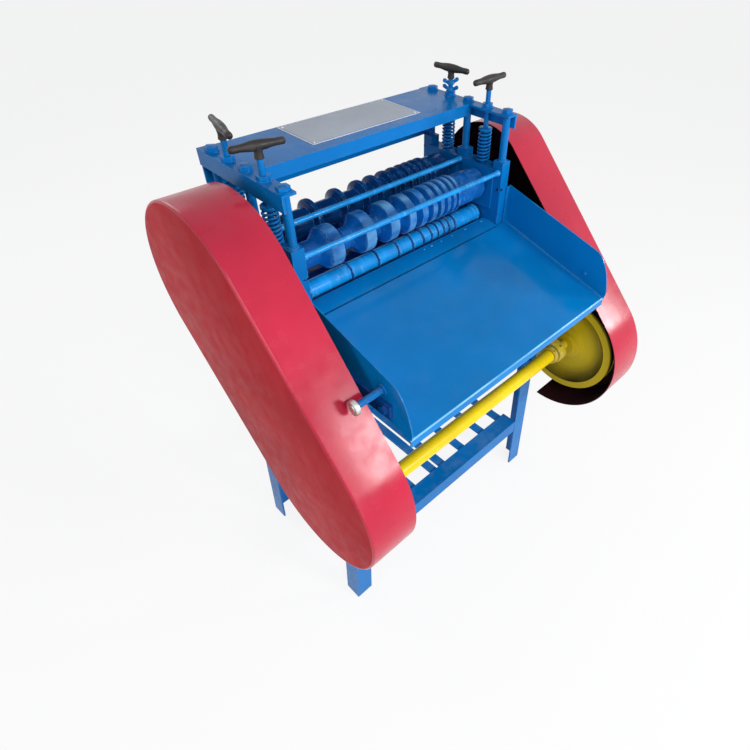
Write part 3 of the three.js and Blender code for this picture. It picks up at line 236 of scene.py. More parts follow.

# Feed tray
# the reach of the painted highlight along the folded lip is among these sizes
TRAY = Sizes(wall=2.5, half=323, throat_half=285, ledge_rear=99.5, bend=79.5, shoulder=54.5, lap=5,
             front=-261.5, ledge=896, drop=90, lip=20, lip_round=5, lip_rubbed=3.1, cheek=97, corner=45,
             flange_in=310)
CORNER = (
    (1.4, 1), (1, 1), (0.77, 0.965), (0.53, 0.875), (0.34, 0.755), (0.18, 0.6), (0.04, 0.4), (-0.07, 0.19),
    (-0.03, 0.03), (0, -0.026), (0.1, -0.1),
)
APRON = ((103, 880), (131, 870), (160, 866), (302, 866), (320, 912))
SEAM = ((-0.4, -0.4), (3.4, -0.4), (3.2, 0.3), (1.6, 0.8), (0.8, 1.6), (0.3, 3.2), (-0.4, 3.4))
LEDGE_DOTS = Sizes(x=(55, 80, 113, 152, 201, 263), inset=11)
ARM_BOLT = Sizes(y=-198.5, z=847.3, radius=4.5)
CLAMP = Sizes(start=323.3, reach=61, collar=12, stub=7, cap=15, cap_long=10)


def corners(node):
    """A node's lowest and highest corner."""
    return [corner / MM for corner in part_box(node)]


def middle(node):
    low, high = corners(node)
    return (low + high) / 2


def ends(node):
    """A node's two ends along x, and the middle of its y and of its z."""
    low, high = corners(node)
    return low.x, high.x, *middle(node).yz


def tray_top(y):
    slope = TRAY.drop / (TRAY.bend - TRAY.front)
    return TRAY.ledge - (TRAY.bend - y) * slope


# Materials; the lengths in them are in metres

class Tree:
    """A node tree, with short ways to add nodes; an input takes an output of another node or a constant."""

    def __init__(self, tree):
        self.nodes, self.links = tree.nodes, tree.links
        self.shader = self.nodes.get("Principled BSDF")
        self.coordinates = None

    def put(self, socket, value):
        """Feeds an input from an output, or sets it to a constant."""
        if isinstance(value, bpy.types.NodeSocket):
            self.links.new(value, socket)
        else:
            socket.default_value = value

    def add(self, kind, output, inputs=None, **settings):
        """A new node with its settings and inputs; returns one of its outputs."""
        node = self.nodes.new(f"ShaderNode{kind}")
        for name, value in settings.items():
            setattr(node, name, value)
        for key, value in (inputs or {}).items():
            self.put(node.inputs[key], value)
        return node.outputs[output]

    def place(self):
        """The coordinates of the object, from one node for the whole tree."""
        if not self.coordinates:
            self.coordinates = self.add("TexCoord", "Object")
        return self.coordinates

    def noise(self, scale, detail, stretch=None):
        """Noise in object space; stretch scales the three axes."""
        source = self.place()
        if stretch:
            source = self.add("Mapping", "Vector", {"Vector": source, "Scale": stretch})
        return self.add("TexNoise", "Fac", {"Vector": source, "Scale": scale, "Detail": detail})

    def span(self, value, low, high, to_low=0.0, to_high=1.0):
        return self.add("MapRange", "Result", {
            "Value": value, "From Min": low, "From Max": high, "To Min": to_low, "To Max": to_high})

    def patches(self, scale, detail, *limits, stretch=None):
        """Noise spread from two limits to 0 and 1, or to two more limits."""
        return self.span(self.noise(scale, detail, stretch), *limits)

    def math(self, operation, *values):
        return self.add("Math", 0, dict(enumerate(values)), operation=operation)

    def mix(self, factor, *colours):
        """Mixes two colours; each is a colour or an output."""
        first, second = ((*colour, 1) if isinstance(colour, tuple) else colour for colour in colours)
        return self.add("Mix", 2, {0: factor, 6: first, 7: second}, data_type="RGBA")

    def edge(self, radius):
        """1 along sharp edges, 0 on open faces."""
        rounded = self.add("Bevel", "Normal", {"Radius": radius}, samples=3)
        match = self.add("VectorMath", "Value", {0: rounded, 1: self.add("NewGeometry", "Normal")},
                         operation="DOT_PRODUCT")
        return self.span(match, 0.985, 0.90)

    def distance(self, y, z):
        """Distance from an axis along X through (y, z)."""
        split = self.add("SeparateXYZ", 0, {0: self.place()}).node.outputs
        squares = []
        for axis, at in (("Y", y), ("Z", z)):
            away = self.math("SUBTRACT", split[axis], at)
            squares.append(self.math("MULTIPLY", away, away))
        return self.math("SQRT", self.math("ADD", *squares))

    def glow(self, output, share, plain, bright):
        """Rays from the camera, gloss or glass get a share of the bright shader, others the plain one."""
        path = self.add("LightPath", 0).node.outputs
        seen = path["Is Camera Ray"]
        for ray in ("Is Glossy Ray", "Is Transmission Ray"):
            seen = self.math("MAXIMUM", seen, path[ray])
        blend = self.add("MixShader", 0, {0: self.math("MULTIPLY", seen, share), 1: plain, 2: bright})
        self.put(self.nodes[output].inputs["Surface"], blend)

    def finish(self, inputs, *bumps):
        """Gives the shader its inputs, and the bumps (height, strength, distance) one over another."""
        normal = {}
        for height, strength, distance in bumps:
            bump = {"Height": height, "Strength": strength, "Distance": distance, **normal}
            normal = {"Normal": self.add("Bump", "Normal", bump)}
        for key, value in {**inputs, **normal}.items():
            self.put(self.shader.inputs[key], value)


def new_material(name):
    material = bpy.data.materials.new(name)
    material.use_nodes = True
    return material, Tree(material.node_tree)


def shaded(colour, share):
    return tuple(min(1.0, part * share) for part in colour)


def paint(name, colour, rough=(0.14, 0.30), specular=0.18, dust=0.2, wave=0.0, chips=0.6, ring_shade=None, cast=0.0,
          lip=None):
    """Sprayed enamel: colour drift, orange peel, dust on faces that look up, paint worn off the edges.

    ring_shade is (y, z, inner, outer) of a ring round an axis that darkens outwards as painted shade;
    cast is how rough a casting lies under it; lip is (y, z, reach) of a folded edge along x that gets
    a thin pale painted highlight."""
    material, tree = new_material(name)
    base = tree.mix(tree.patches(5, 4, 0.3, 0.7), shaded(colour, 0.84), shaded(colour, 1.10))
    streaks = tree.patches(9, 6, 0.55, 0.8, 0, 0.12, stretch=(1, 1, 0.25))
    base = tree.mix(streaks, base, shaded(colour, 0.55))
    if dust:
        facing = tree.add("SeparateXYZ", "Z", {0: tree.add("NewGeometry", "Normal")})
        settled = tree.math("MULTIPLY", tree.span(facing, 0.7, 1.0), tree.patches(22, 8, 0.48, 0.76, 0, dust))
        base = tree.mix(settled, base, DUST)
    # Painted shade: a ring round the axis grows darker towards its outer radius, as in a dished recess
    if ring_shade:
        y, z, inner, outer = ring_shade
        distance = tree.distance(y, z)
        ring = tree.math("POWER", tree.span(distance, inner, outer), 1.1)
        ring = tree.math("MULTIPLY", ring, tree.math("LESS_THAN", distance, outer + 1.5 * MM))
        base = tree.mix(tree.math("MULTIPLY", ring, tree.patches(14, 5, 0.3, 0.7, 0.7, 1.0)), base, DISH_SHADE_COLOUR)
    if cast:
        base = tree.mix(tree.patches(90, 8, 0.52, 0.66, 0.0, 0.6), base, CAST)
    # Painted highlight: a thin pale line along the tray's folded lip, palest at the fold's outer corner
    if lip:
        y, z, reach = lip
        close = tree.span(tree.distance(y, z), reach, reach * 0.55)
        patchy = tree.patches(16, 6, 0.3, 0.6, 0.25, 0.85, stretch=(0.6, 1, 1))
        base = tree.mix(tree.math("MULTIPLY", close, patchy), base, HIGHLIGHT_PALE)
    if chips:
        worn = tree.math("MULTIPLY", tree.edge(0.0022), tree.patches(120, 6, 0.52, 0.62, 0.0, chips))
        base = tree.mix(worn, base, BARE)
    bumps = [(tree.noise(900, 2), 0.10, 0.0004)]
    if wave:
        bumps.append((tree.noise(7, 1), wave, 0.004))
    if cast:
        bumps.append((tree.noise(130, 6), cast, 0.004))
    grain = tree.patches(34, 6, 0.3, 0.7, *rough)
    tree.finish({"Base Color": base, "Roughness": grain, "Specular IOR Level": specular}, *bumps)
    return material


def turned_paint(name, colour, scuffs, specular=0.3, rim=None):
    """Enamel over turned steel: fine rings show through, and bands are rubbed pale.

    rim is (y, z, inner, outer): between the two radii the paint turns from dark to rubbed."""
    material, tree = new_material(name)
    base = tree.mix(tree.patches(26, 6, 0.35, 0.7), shaded(colour, 0.78), shaded(colour, 1.15))
    base = tree.mix(tree.patches(60, 8, 0.56, 0.74, 0, scuffs, stretch=(2, 0.6, 0.6)), base, SCUFF)
    if rim:
        y, z, inner, outer = rim
        outward = tree.math("POWER", tree.span(tree.distance(y, z), inner, outer), 3.0)
        rubbed = tree.patches(30, 8, 0.36, 0.66, 0, 0.55, stretch=(0.4, 1, 1))
        base = tree.mix(tree.math("MULTIPLY", outward, rubbed), base, SCUFF)
    worn = tree.math("MULTIPLY", tree.edge(0.0020), tree.patches(150, 6, 0.42, 0.55, 0, 0.85))
    base = tree.mix(worn, base, SCUFF)
    grain = tree.patches(60, 6, 0.3, 0.7, 0.12, 0.28)
    rings = tree.noise(420, 3, (1, 0.02, 0.02))
    tree.finish({"Base Color": base, "Roughness": grain, "Specular IOR Level": specular},
                (rings, 0.18, 0.0006), (tree.noise(600, 2), 0.06, 0.0004))
    return material


def metal(name, colour, rough=(0.22, 0.42), stretch=(1, 1, 1)):
    """Bare or plated steel with faint scratches."""
    material, tree = new_material(name)
    base = tree.mix(tree.patches(40, 6, 0.3, 0.7), shaded(colour, 0.7), shaded(colour, 1.1))
    grain = tree.patches(220, 6, 0.3, 0.7, *rough, stretch=stretch)
    tree.finish({"Base Color": base, "Roughness": grain, "Metallic": 0.9},
                (tree.noise(500, 4, stretch), 0.12, 0.0003))
    return material


def moulded(name, colour, rough=(0.35, 0.6), grain_scale=500):
    """Moulded handle plastic or belt rubber: fine pits and worn, paler patches."""
    material, tree = new_material(name)
    base = tree.mix(tree.patches(60, 8, 0.45, 0.75), colour, shaded(colour, 2.2))
    grain = tree.patches(120, 4, 0.3, 0.7, *rough)
    tree.finish({"Base Color": base, "Roughness": grain, "Specular IOR Level": 0.3},
                (tree.noise(grain_scale, 4), 0.2, 0.0004))
    return material


def make_materials():
    shaft, roller = middle("countershaft") * MM, middle("front_grooved_roller") * MM
    # the big pulley's dish darkens with painted shade towards its ring
    ring_shade = (*shaft.yz, DISH_SHADE_FROM * MM, (BIG_PULLEY.ring - 1) * MM)
    rim = (*roller.yz, ROLLER_WEAR_FROM * MM, RIDGE_RADIUS * MM)
    # the tray's folded lip gets a thin painted highlight
    lip = (TRAY.front * MM, tray_top(TRAY.front) * MM, TRAY.lip_rubbed * MM)
    return {
        "blue": paint("blue_enamel", BLUE, specular=0.10),
        "tray": paint("tray_enamel", TRAY_BLUE, (0.10, 0.20), 0.13, dust=0.03, wave=0.05, chips=0.5, lip=lip),
        "roller_front": turned_paint("front_roller_enamel", ROLLER_BLUES["front"], 0.12, 0.15, rim),
        # the rear roller takes the shaded copy of the roller blue as painted shade
        "roller_rear": turned_paint("rear_roller_enamel", ROLLER_BLUES["rear"], 0.06, 0.15),
        "sleeve": turned_paint("sleeve_enamel", SLEEVE_BLUE, 0.3),
        "blade": turned_paint("blade_enamel", DARK_BLUE, 0.2),
        "deep": paint("deep_blue_enamel", DARK_BLUE, dust=0.1),
        "red": paint("red_enamel", RED, (0.18, 0.30), 0.3, dust=0.03, wave=0.10, chips=0.4),
        # shaded copy of the red enamel for the guard's outer plate, its reflection turned nearly off
        "red_plate": paint("guard_plate_red_shaded_copy", PLATE_RED, (0.30, 0.45), 0.03, dust=0.0, wave=0.10, chips=0.4),
        # the insides of the guards are painted near-black as shade
        "maroon": paint("guard_inside_painted_shade", GUARD_INSIDE_SHADE, (0.5, 0.8), 0.15, dust=0.0, chips=0.0),
        "yellow": paint("yellow_enamel", YELLOW, (0.18, 0.34), 0.25, dust=0.06),
        # the big pulley in the shaded copy of the yellow
        "shaded_yellow": paint("pulley_enamel_shaded_copy", YELLOW_IN_SHADE, (0.30, 0.50), dust=0.05, ring_shade=ring_shade),
        # the pillow blocks and shaft collars in the shaded copy of the yellow, with a cast surface
        "casting": paint("cast_yellow_enamel", YELLOW_IN_SHADE, (0.25, 0.55), 0.4, dust=0.1, cast=0.7),
        "grey": paint("motor_enamel", GREY, (0.35, 0.55), dust=0.25),
        "steel": metal("turned_steel", STEEL, stretch=(1, 0.05, 0.05)),
        "zinc": metal("zinc_plate", ZINC, (0.25, 0.5)),
        "dark": moulded("handle_plastic", DARK),
        # black for the painted shade in the tapped holes
        "black": moulded("hole_painted_shade", BLACK, (0.7, 0.9)),
        "rubber": moulded("belt_rubber", BLACK, (0.6, 0.8), 900),
        "bare_plate": paint("bare_plate", BARE_PLATE, (0.28, 0.42), dust=0.0, chips=0.0),
        "plate_border": paint("plate_border", PLATE_BORDER, (0.28, 0.42), dust=0.0, chips=0.0),
    }


MATERIALS = make_materials()


# Mesh helpers; a form is its points, in metres, and its faces

def new_object(name, data):
    thing = bpy.data.objects.new(name, data)
    bpy.context.scene.collection.objects.link(thing)
    return thing


def add_piece(name, form, material, body, sharp=SHARP, others=()):
    """A mesh piece that rides on a body; others are (material, first face, face after the last)."""
    points, faces = form
    mesh = bpy.data.meshes.new(name)
    mesh.from_pydata([tuple(point) for point in points], [], faces)
    mesh.materials.append(MATERIALS[material])
    for index, (other, first, end) in enumerate(others):
        mesh.materials.append(MATERIALS[other])
        for face in mesh.polygons[first:end]:
            face.material_index = index + 1
    outward = bmesh.new()
    outward.from_mesh(mesh)
    bmesh.ops.recalc_face_normals(outward, faces=outward.faces)
    outward.to_mesh(mesh)
    outward.free()
    mesh.shade_smooth()
    mesh.set_sharp_from_angle(angle=math.radians(sharp))
    piece = new_object(name, mesh)
    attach(piece, body)
    return piece


def soften(piece, width):
    soft = piece.modifiers.new("soft_edges", "BEVEL")
    soft.width = width * MM
    soft.segments = 2
    soft.limit_method = "ANGLE"
    soft.angle_limit = math.radians(SHARP)
    soft.harden_normals = True


def repaint(node, material, bevel):
    """Gives a carried-over solid its material, smooth shading and softened edges."""
    piece = NODES[node]
    piece.data.materials.clear()
    piece.data.materials.append(MATERIALS[material])
    piece.data.shade_smooth()
    piece.data.set_sharp_from_angle(angle=math.radians(SHARP))
    soften(piece, bevel)


def spot(x, y, z):
    """A point in metres, from millimetres."""
    return Vector((x, y, z)) * MM


def skin(rows, wrap=False):
    """A form over closed rows of points; wrap joins the last row to the first, else the ends are filled."""
    count = len(rows[0])
    points = [point for row in rows for point in row]
    faces = [] if wrap else [tuple(reversed(range(count)))]
    for a in range(len(rows) if wrap else len(rows) - 1):
        b = (a + 1) % len(rows)
        for i in range(count):
            j = (i + 1) % count
            faces.append((a * count + i, a * count + j, b * count + j, b * count + i))
    if not wrap:
        faces.append(tuple((len(rows) - 1) * count + i for i in range(count)))
    return points, faces


def lathe(profile, segments=ROUND, wrap=False):
    """A form turned about Z from its profile [(height, radius)]; wrap makes it a ring with a bore."""
    angles = [2 * math.pi * i / segments for i in range(segments)]
    return skin([[spot(radius * math.cos(t), radius * math.sin(t), height) for t in angles]
                 for height, radius in profile], wrap)


def extruded(outline, x0, x1):
    """An outline of (y, z) between x0 and x1."""
    return skin([[spot(x, y, z) for y, z in outline] for x in (x0, x1)])


def both_ends(a, b, rows):
    """A profile that is alike seen from a and from b; rows are (distance from the end, radius)."""
    return [(a + x, radius) for x, radius in rows] + [(b - x, radius) for x, radius in reversed(rows)]


def placed(form, matrix):
    points, faces = form
    return [matrix @ point for point in points], faces


def shift(x, y, z):
    return Matrix.Translation(spot(x, y, z))


def turn(degrees, axis):
    return Matrix.Rotation(math.radians(degrees), 4, axis)


def along_x(y, z):
    """Turns a lathe's height into x, at the given y and z."""
    return shift(0, y, z) @ turn(90, "Y")


def mirrored(form, way):
    return placed(form, Matrix.Scale(way, 4, (1, 0, 0)))


def merge(forms):
    points, faces = [], []
    for more_points, more_faces in forms:
        start = len(points)
        points += more_points
        faces += [tuple(start + i for i in face) for face in more_faces]
    return points, faces


def turned(profile, y, z, segments, wrap=False):
    """A form turned about the line along x at y and z, from its profile [(x, radius)]."""
    return placed(lathe(profile, segments, wrap), along_x(y, z))


def turned_piece(name, profile, node, material, body, segments=ROUND, wrap=False):
    """A piece turned about the middle line of a node along x."""
    return add_piece(name, turned(profile, *middle(node).yz, segments, wrap), material, body)


def outline_columns(circles, steps):
    """Columns (circle, angle) round the hull of circles (y, z, radius), two at each change of circle."""
    def winner(angle):
        return max(range(len(circles)), key=lambda i: (
            circles[i][0] * math.cos(angle) + circles[i][1] * math.sin(angle) + circles[i][2]))

    columns = []
    for i in range(steps):
        low, high = 2 * math.pi * i / steps, 2 * math.pi * (i + 1) / steps
        first, last = winner(low), winner(high)
        columns.append((first, low))
        if first != last:
            for _ in range(HALVINGS):
                half = (low + high) / 2
                low, high = (half, high) if winner(half) == first else (low, half)
            columns += [(first, low), (last, high)]
    return columns


def outline_point(circles, column, inset, x):
    y, z, radius = circles[column[0]]
    reach = radius - inset
    return spot(x, y + reach * math.cos(column[1]), z + reach * math.sin(column[1]))


def hull_form(circles, rows, steps, wrap=False):
    """A form whose outline is the hull of circles; each row is (inset, x)."""
    columns = outline_columns(circles, steps)
    return skin([[outline_point(circles, column, inset, x) for column in columns] for inset, x in rows], wrap)


def slab_rows(x0, x1, edge=1.0):
    return [(edge, x0), (0, x0 + edge), (0, x1 - edge), (edge, x1)]


def block(x0, x1, y0, y1, z0, z1, edge):
    """A block with rounded corners seen along x, and softened ends."""
    r = edge * 2
    circles = [(y1 - r, z1 - r, r), (y0 + r, z1 - r, r), (y0 + r, z0 + r, r), (y1 - r, z0 + r, r)]
    return hull_form(circles, slab_rows(x0, x1, edge), TINY_ROUND)


def hexagon_head(radius, height):
    """A bolt head about Z, from 0 to height, with a chamfered top."""
    return lathe([(0, radius), (height - 1.5, radius), (height, radius - 2)], 6)


# Rollers

def groove_places(line):
    """Start, end, middle, bottom radius and floor of each groove, left to right."""
    grooves = []
    following = [at - rim / 2 for at, rim, _, _ in RIDGES[line][1:]] + [PLAIN_FROM[line]]
    for (at, rim, deep, floor), end in zip(RIDGES[line], following):
        start = at + rim / 2
        grooves.append((start, end, (start + end) / 2, RIDGE_RADIUS - deep, floor))
    return grooves


def flank(x0, r0, x1, r1):
    """A slightly hollow flank from (x0, r0) to (x1, r1): points between the two ends."""
    points = []
    for i in range(1, FLANK_STEPS):
        share = i / FLANK_STEPS
        bow = FLANK_HOLLOW * math.sin(math.pi * share)
        points.append((x0 + (x1 - x0) * share, r0 + (r1 - r0) * share - bow * abs(r1 - r0)))
    return points


def rim_corner(x, radius, way):
    """The rounded corner of a rim, from its side at x to its top."""
    step = RIM_ROUNDING
    return [(x, radius - step), (x + way * step * 0.3, radius - step * 0.3), (x + way * step, radius)]


def grooved_profile(line):
    rise = RIDGES[line][0][0] - RIDGES[line][0][1] / 2
    hub, hub_radius = HUB.start, HUB.radius
    plain_end, plain = PLAIN.end, PLAIN.radius
    profile = [(-UPPER_END, UPPER_JOURNAL - 1), (-UPPER_END + 1, UPPER_JOURNAL), (hub, UPPER_JOURNAL),
               (hub, hub_radius - 1), (hub + 1, hub_radius), *LEADS[line],
               *flank(*LEADS[line][-1], rise, RIDGE_RADIUS), *rim_corner(rise, RIDGE_RADIUS, 1)]
    for start, end, mid, radius, floor in groove_places(line):
        far = plain if end == PLAIN_FROM[line] else RIDGE_RADIUS
        left, right = mid - floor / 2, mid + floor / 2
        profile += [*reversed(rim_corner(start, RIDGE_RADIUS, -1)),
                    *flank(start, RIDGE_RADIUS - RIM_ROUNDING, left, radius), (left, radius), (right, radius),
                    *flank(right, radius, end, far - RIM_ROUNDING), *rim_corner(end, far, 1)]
    return [*profile, (plain_end - 1, plain), (plain_end, plain - 1), (plain_end, hub_radius),
            (INNER_END, hub_radius), (INNER_END, UPPER_JOURNAL), (UPPER_END - 1, UPPER_JOURNAL),
            (UPPER_END, UPPER_JOURNAL - 1)]


def grooved_rollers():
    for line in LINES:
        node, body = f"{line}_grooved_roller", f"{line}_upper_roller"
        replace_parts(turned_piece(f"{node}_turned", grooved_profile(line), node, f"roller_{line}", body), node)


def sleeve_profile(left, right):
    start, end, radius, ring = LONG_SLEEVE.start, LONG_SLEEVE.end, LONG_SLEEVE.radius, LONG_SLEEVE.ring
    ring_from = end - LONG_SLEEVE.ring_long
    journal, first = LOWER_JOURNAL, BLADE.first_at - BLADE.thick / 2
    return [(left, journal - 1), (left + 1, journal), (first, journal), (first, SLEEVE_RADIUS),
            (start, SLEEVE_RADIUS), (start, radius - 1), (start + 1, radius), (ring_from, radius),
            *both_ends(ring_from, end, [(0, ring - 0.6), (0.6, ring)]), (end, journal),
            (right - 1, journal), (right, journal - 1)]


def blade(at):
    """One disc blade: flat cheeks and a bevelled cutting edge."""
    side = -BLADE.thick / 2
    return lathe(both_ends(at, at, [(side, SLEEVE_RADIUS - 1), (side, BLADE.radius - BLADE.bevel),
                                    (-BLADE.edge, BLADE.radius)]))


def sleeve_rim(at):
    """The rounded rim of a sleeve beside a blade."""
    return lathe(both_ends(at, at, [(-SLEEVE_RIM.half, SLEEVE_RADIUS - 0.5),
                                    (-SLEEVE_RIM.top_half, SLEEVE_RADIUS + 0.5)]))


def blade_rollers():
    beside = BLADE.thick / 2 + SLEEVE_RIM.from_blade
    for line in LINES:
        node, body = f"{line}_blade_roller", f"{line}_lower_roller"
        a, b, y, z = ends(node)
        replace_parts(turned_piece(f"{line}_sleeves", sleeve_profile(a, b), node, "sleeve", body), node)
        places = [BLADE.first_at, *(groove[2] for groove in groove_places(line))]
        discs = [blade(at) for at in places]
        rims = [sleeve_rim(at + way * beside) for at in places[1:] for way in WAYS]
        for name, forms, material in (("disc_blades", discs, "blade"), ("sleeve_rims", rims, "sleeve")):
            add_piece(f"{line}_{name}", placed(merge(forms), along_x(y, z)), material, body)


# Springs, screws and handles

def winding_points(bottom, top):
    """The wire's middle line about the screw."""
    radius, wire, steps = SPRING.middle, SPRING.wire, SPRING.steps
    straight = 2 * wire
    around = 2 * math.pi * radius
    pitch = (top - bottom - 2 * wire) / (SPRING.curls + 2 * straight / around)
    start = bottom + wire + pitch * straight / around
    points = []
    for i in range(SPRING.curls * steps + 1):
        angle = 2 * math.pi * i / steps
        points.append(Vector((radius * math.cos(angle), radius * math.sin(angle), start + pitch * i / steps)))
    first = points[0] - (points[1] - points[0]).normalized() * straight
    last = points[-1] + (points[-1] - points[-2]).normalized() * straight
    return [first, *points, last]


def tube(line, radius, sides):
    """A round tube along a line of points about the Z axis."""
    turns = [2 * math.pi * k / sides for k in range(sides)]
    rows = []
    for i, point in enumerate(line):
        ahead = line[min(i + 1, len(line) - 1)] - line[max(i - 1, 0)]
        across = ahead.cross(Vector((point.x, point.y, 0)).normalized()).normalized()
        out = across.cross(ahead).normalized()
        rows.append([(point + (out * math.cos(t) + across * math.sin(t)) * radius) * MM for t in turns])
    return skin(rows)


def springs():
    for line in LINES:
        for side, _ in SIDES:
            node = f"pressure_spring_{line}_{side}"
            low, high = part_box(node)
            place = (low + high) / 2
            coil = tube(winding_points(low.z / MM, high.z / MM), SPRING.wire, SPRING.sides)
            coil = placed(coil, Matrix.Translation((place.x, place.y, 0)))
            piece = add_piece(f"{node}_coil", coil, "blue", "frame", SHARP_ON_WELDS)
            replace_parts(piece, node)
            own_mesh(piece)


def thread_profile(bottom, top, radius):
    profile = [(bottom, radius - 1.2)]
    height = bottom + 1
    while height + THREAD_PITCH < top:
        profile += [(height, radius), (height + THREAD_PITCH / 2, radius - THREAD_DEPTH)]
        height += THREAD_PITCH
    return [*profile, (top, radius)]


def handle_profile(half):
    """The handle from tip to tip: thick in the middle, waisted, with bulbed ends."""
    tip, thick = HANDLE.tip, HANDLE.middle
    return both_ends(-half, half, [
        (0, 0.6), (0.8, tip * 0.55), (3, tip * 0.92), (8, tip), (18, tip * 0.96), (half * 0.5, tip * 1.06),
        (half * 0.7, thick * 0.92), (half * 0.88, thick)])


def wing_nut(bottom, turned):
    """A hub with two raised wings, about Z."""
    hub = lathe([(bottom, 9), (bottom + 3, 9.2), (bottom + 8, 7.2), (bottom + 9, 6.4)], SMALL_ROUND)
    wing = hull_form([(7, bottom + 4, 3.5), (16, bottom + 9, 4.5)], slab_rows(-1.6, 1.6, 0.7), SMALLER_ROUND)
    return merge([hub, *(placed(wing, turn(turned + way, "Z")) for way in (0, 180))])


def pressure_screws():
    top = HANDLE.height
    stem_bottom = top - HANDLE.stem
    collar_top, wide = COLLAR.bottom + COLLAR.tall, COLLAR.radius
    collar = lathe(both_ends(COLLAR.bottom, collar_top, [(0, wide - 0.8), (0.8, wide)]), SMALL_ROUND)
    stem = lathe([(stem_bottom, 7.5), (stem_bottom + 1, 8.6), (top - 12, 7.4), (top - 6, 8.4), (top, 9)],
                 SMALL_ROUND)
    for place, (long, turned) in HANDLES.items():
        node, body = f"pressure_screw_{place}", f"screw_{place}"
        bearing = middle(f"bearing_block_{place}")
        at = shift(math.copysign(POST_AT, bearing.x), bearing.y, 0)
        rod = lathe(thread_profile(corners(node)[0].z, stem_bottom, SCREW_RADIUS), SMALL_ROUND)
        shank = add_piece(f"{node}_rod", placed(merge([rod, collar]), at), "blue", body, SHARP_ON_THREADS)
        bar = placed(lathe(handle_profile(long / 2), SMALL_ROUND),
                     shift(0, 0, top) @ turn(turned, "Z") @ turn(90, "Y"))
        add_piece(f"{node}_handle", placed(merge([stem, bar]), at), "dark", body, SHARP_ON_THREADS)
        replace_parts(shank, node)
        if place == "rear_right":
            nuts = merge([wing_nut(*nut) for nut in WING_NUTS])
            add_piece("lock_wing_nuts", placed(nuts, at), "blue", body, SHARP_ON_THREADS)


# Head details

def head_details():
    """Washers on the bars, crowns on the bolts and weld rings at the feet of the posts."""
    bore, wide, washer_top = SCREW_RADIUS + 0.4, WASHER.radius, BAR_TOP + WASHER.thick
    washer = lathe([(BAR_TOP, bore), (BAR_TOP, wide), (washer_top - 0.4, wide), (washer_top, wide - 0.5),
                    (washer_top, bore)], SMALL_ROUND, True)
    crown = lathe([(BOLT_TOP - 1, 9.5), (BOLT_TOP + 0.8, 8.5), (BOLT_TOP + 1.6, 5), (BOLT_TOP + 1.8, 1)],
                  SMALL_ROUND)
    weld = lathe([(PLATE_TOP, POST_RADIUS + 3.2), (PLATE_TOP + 1.6, POST_RADIUS + 2.6),
                  (PLATE_TOP + 3.4, POST_RADIUS + 0.4), (PLATE_TOP + 3.6, POST_RADIUS - 1)], SMALL_ROUND)
    for side, way in SIDES:
        low, high = corners(f"side_plate_{side}")
        posts = [low.y + POST_INSET, (low.y + high.y) / 2, high.y - POST_INSET]
        screws = [middle(f"bearing_block_{line}_{side}").y for line in LINES]
        for name, form, places, sharp in (
                ("bar_washers", washer, posts + screws, SHARP), ("bolt_crowns", crown, posts, SHARP),
                ("post_welds", weld, posts, SHARP_ON_WELDS)):
            forms = [placed(form, shift(way * POST_AT, y, 0)) for y in places]
            add_piece(f"{name}_{side}", merge(forms), "blue", "frame", sharp)


def skirt_ends():
    """Both ends of the channel's rear skirt, which runs on behind the posts and under the bars."""
    low, high = corners("top_channel")
    for side, way in SIDES:
        reach = sorted((way * high.x, way * (POST_AT + SKIRT.beyond_post)))
        plate = block(*reach, high.y - SKIRT.wall, high.y, low.z, BAR_TOP - SKIRT.under, 0.4)
        add_piece(f"skirt_end_{side}", plate, "blue", "frame")


def tapped_holes():
    """Tapped holes in the inner face of the right side plate, lined and plugged with black as painted shade."""
    back, face = PLATE_INNER - 0.3, PLATE_INNER + 0.4
    for i, (y, z, radius) in enumerate(TAPPED):
        rim = [(back, radius), (face, radius), (face, radius * 0.4), (back, radius * 0.4)]
        dish = lathe(rim, SMALLER_ROUND, True)
        core = lathe([(back + 0.05, radius * 0.5), (face, radius * 0.5)], SMALLER_ROUND)
        add_piece(f"tapped_hole_{i + 1}", placed(merge([dish, core]), along_x(y, z)), "black", "frame")


def name_plate():
    """A bare plate with a plain border, riveted at its corners."""
    (x0, x1), (y0, y1) = NAME_PLATE.x, NAME_PLATE.y
    top = BAR_TOP + NAME_PLATE.thick
    border, inset = NAME_PLATE.border, NAME_PLATE.rivet_inset
    for name, inwards, low, high, material in (
            ("edge", 0, BAR_TOP - 0.2, top, "plate_border"), ("line", border, top - 0.1, top + 0.08, "deep"),
            ("face", border + NAME_PLATE.line, top - 0.1, top + 0.16, "bare_plate")):
        a, b, c, d = x0 + inwards, x1 - inwards, y0 + inwards, y1 - inwards
        rows = [[spot(x, y, z) for x, y in ((a, c), (b, c), (b, d), (a, d))] for z in (low, high)]
        add_piece(f"bare_plate_{name}", skin(rows), material, "frame")
    rivet = lathe([(top, 2.6), (top + 0.6, 2.3), (top + 1.0, 1.4), (top + 1.1, 0.3)], TINY_ROUND)
    rivets = [placed(rivet, shift(x, y, 0))
              for x in (x0 + inset, x1 - inset) for y in (y0 + inset, y1 - inset)]
    add_piece("bare_plate_rivets", merge(rivets), "zinc", "frame")


def tie_rods():
    for node in ("front_tie_rod", "middle_tie_rod"):
        a, b, _, _ = ends(node)
        rod = turned_piece(f"{node}_bar", both_ends(a, b, TIE_ROD), node, "sleeve", "frame", SMALL_ROUND)
        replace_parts(rod, node)


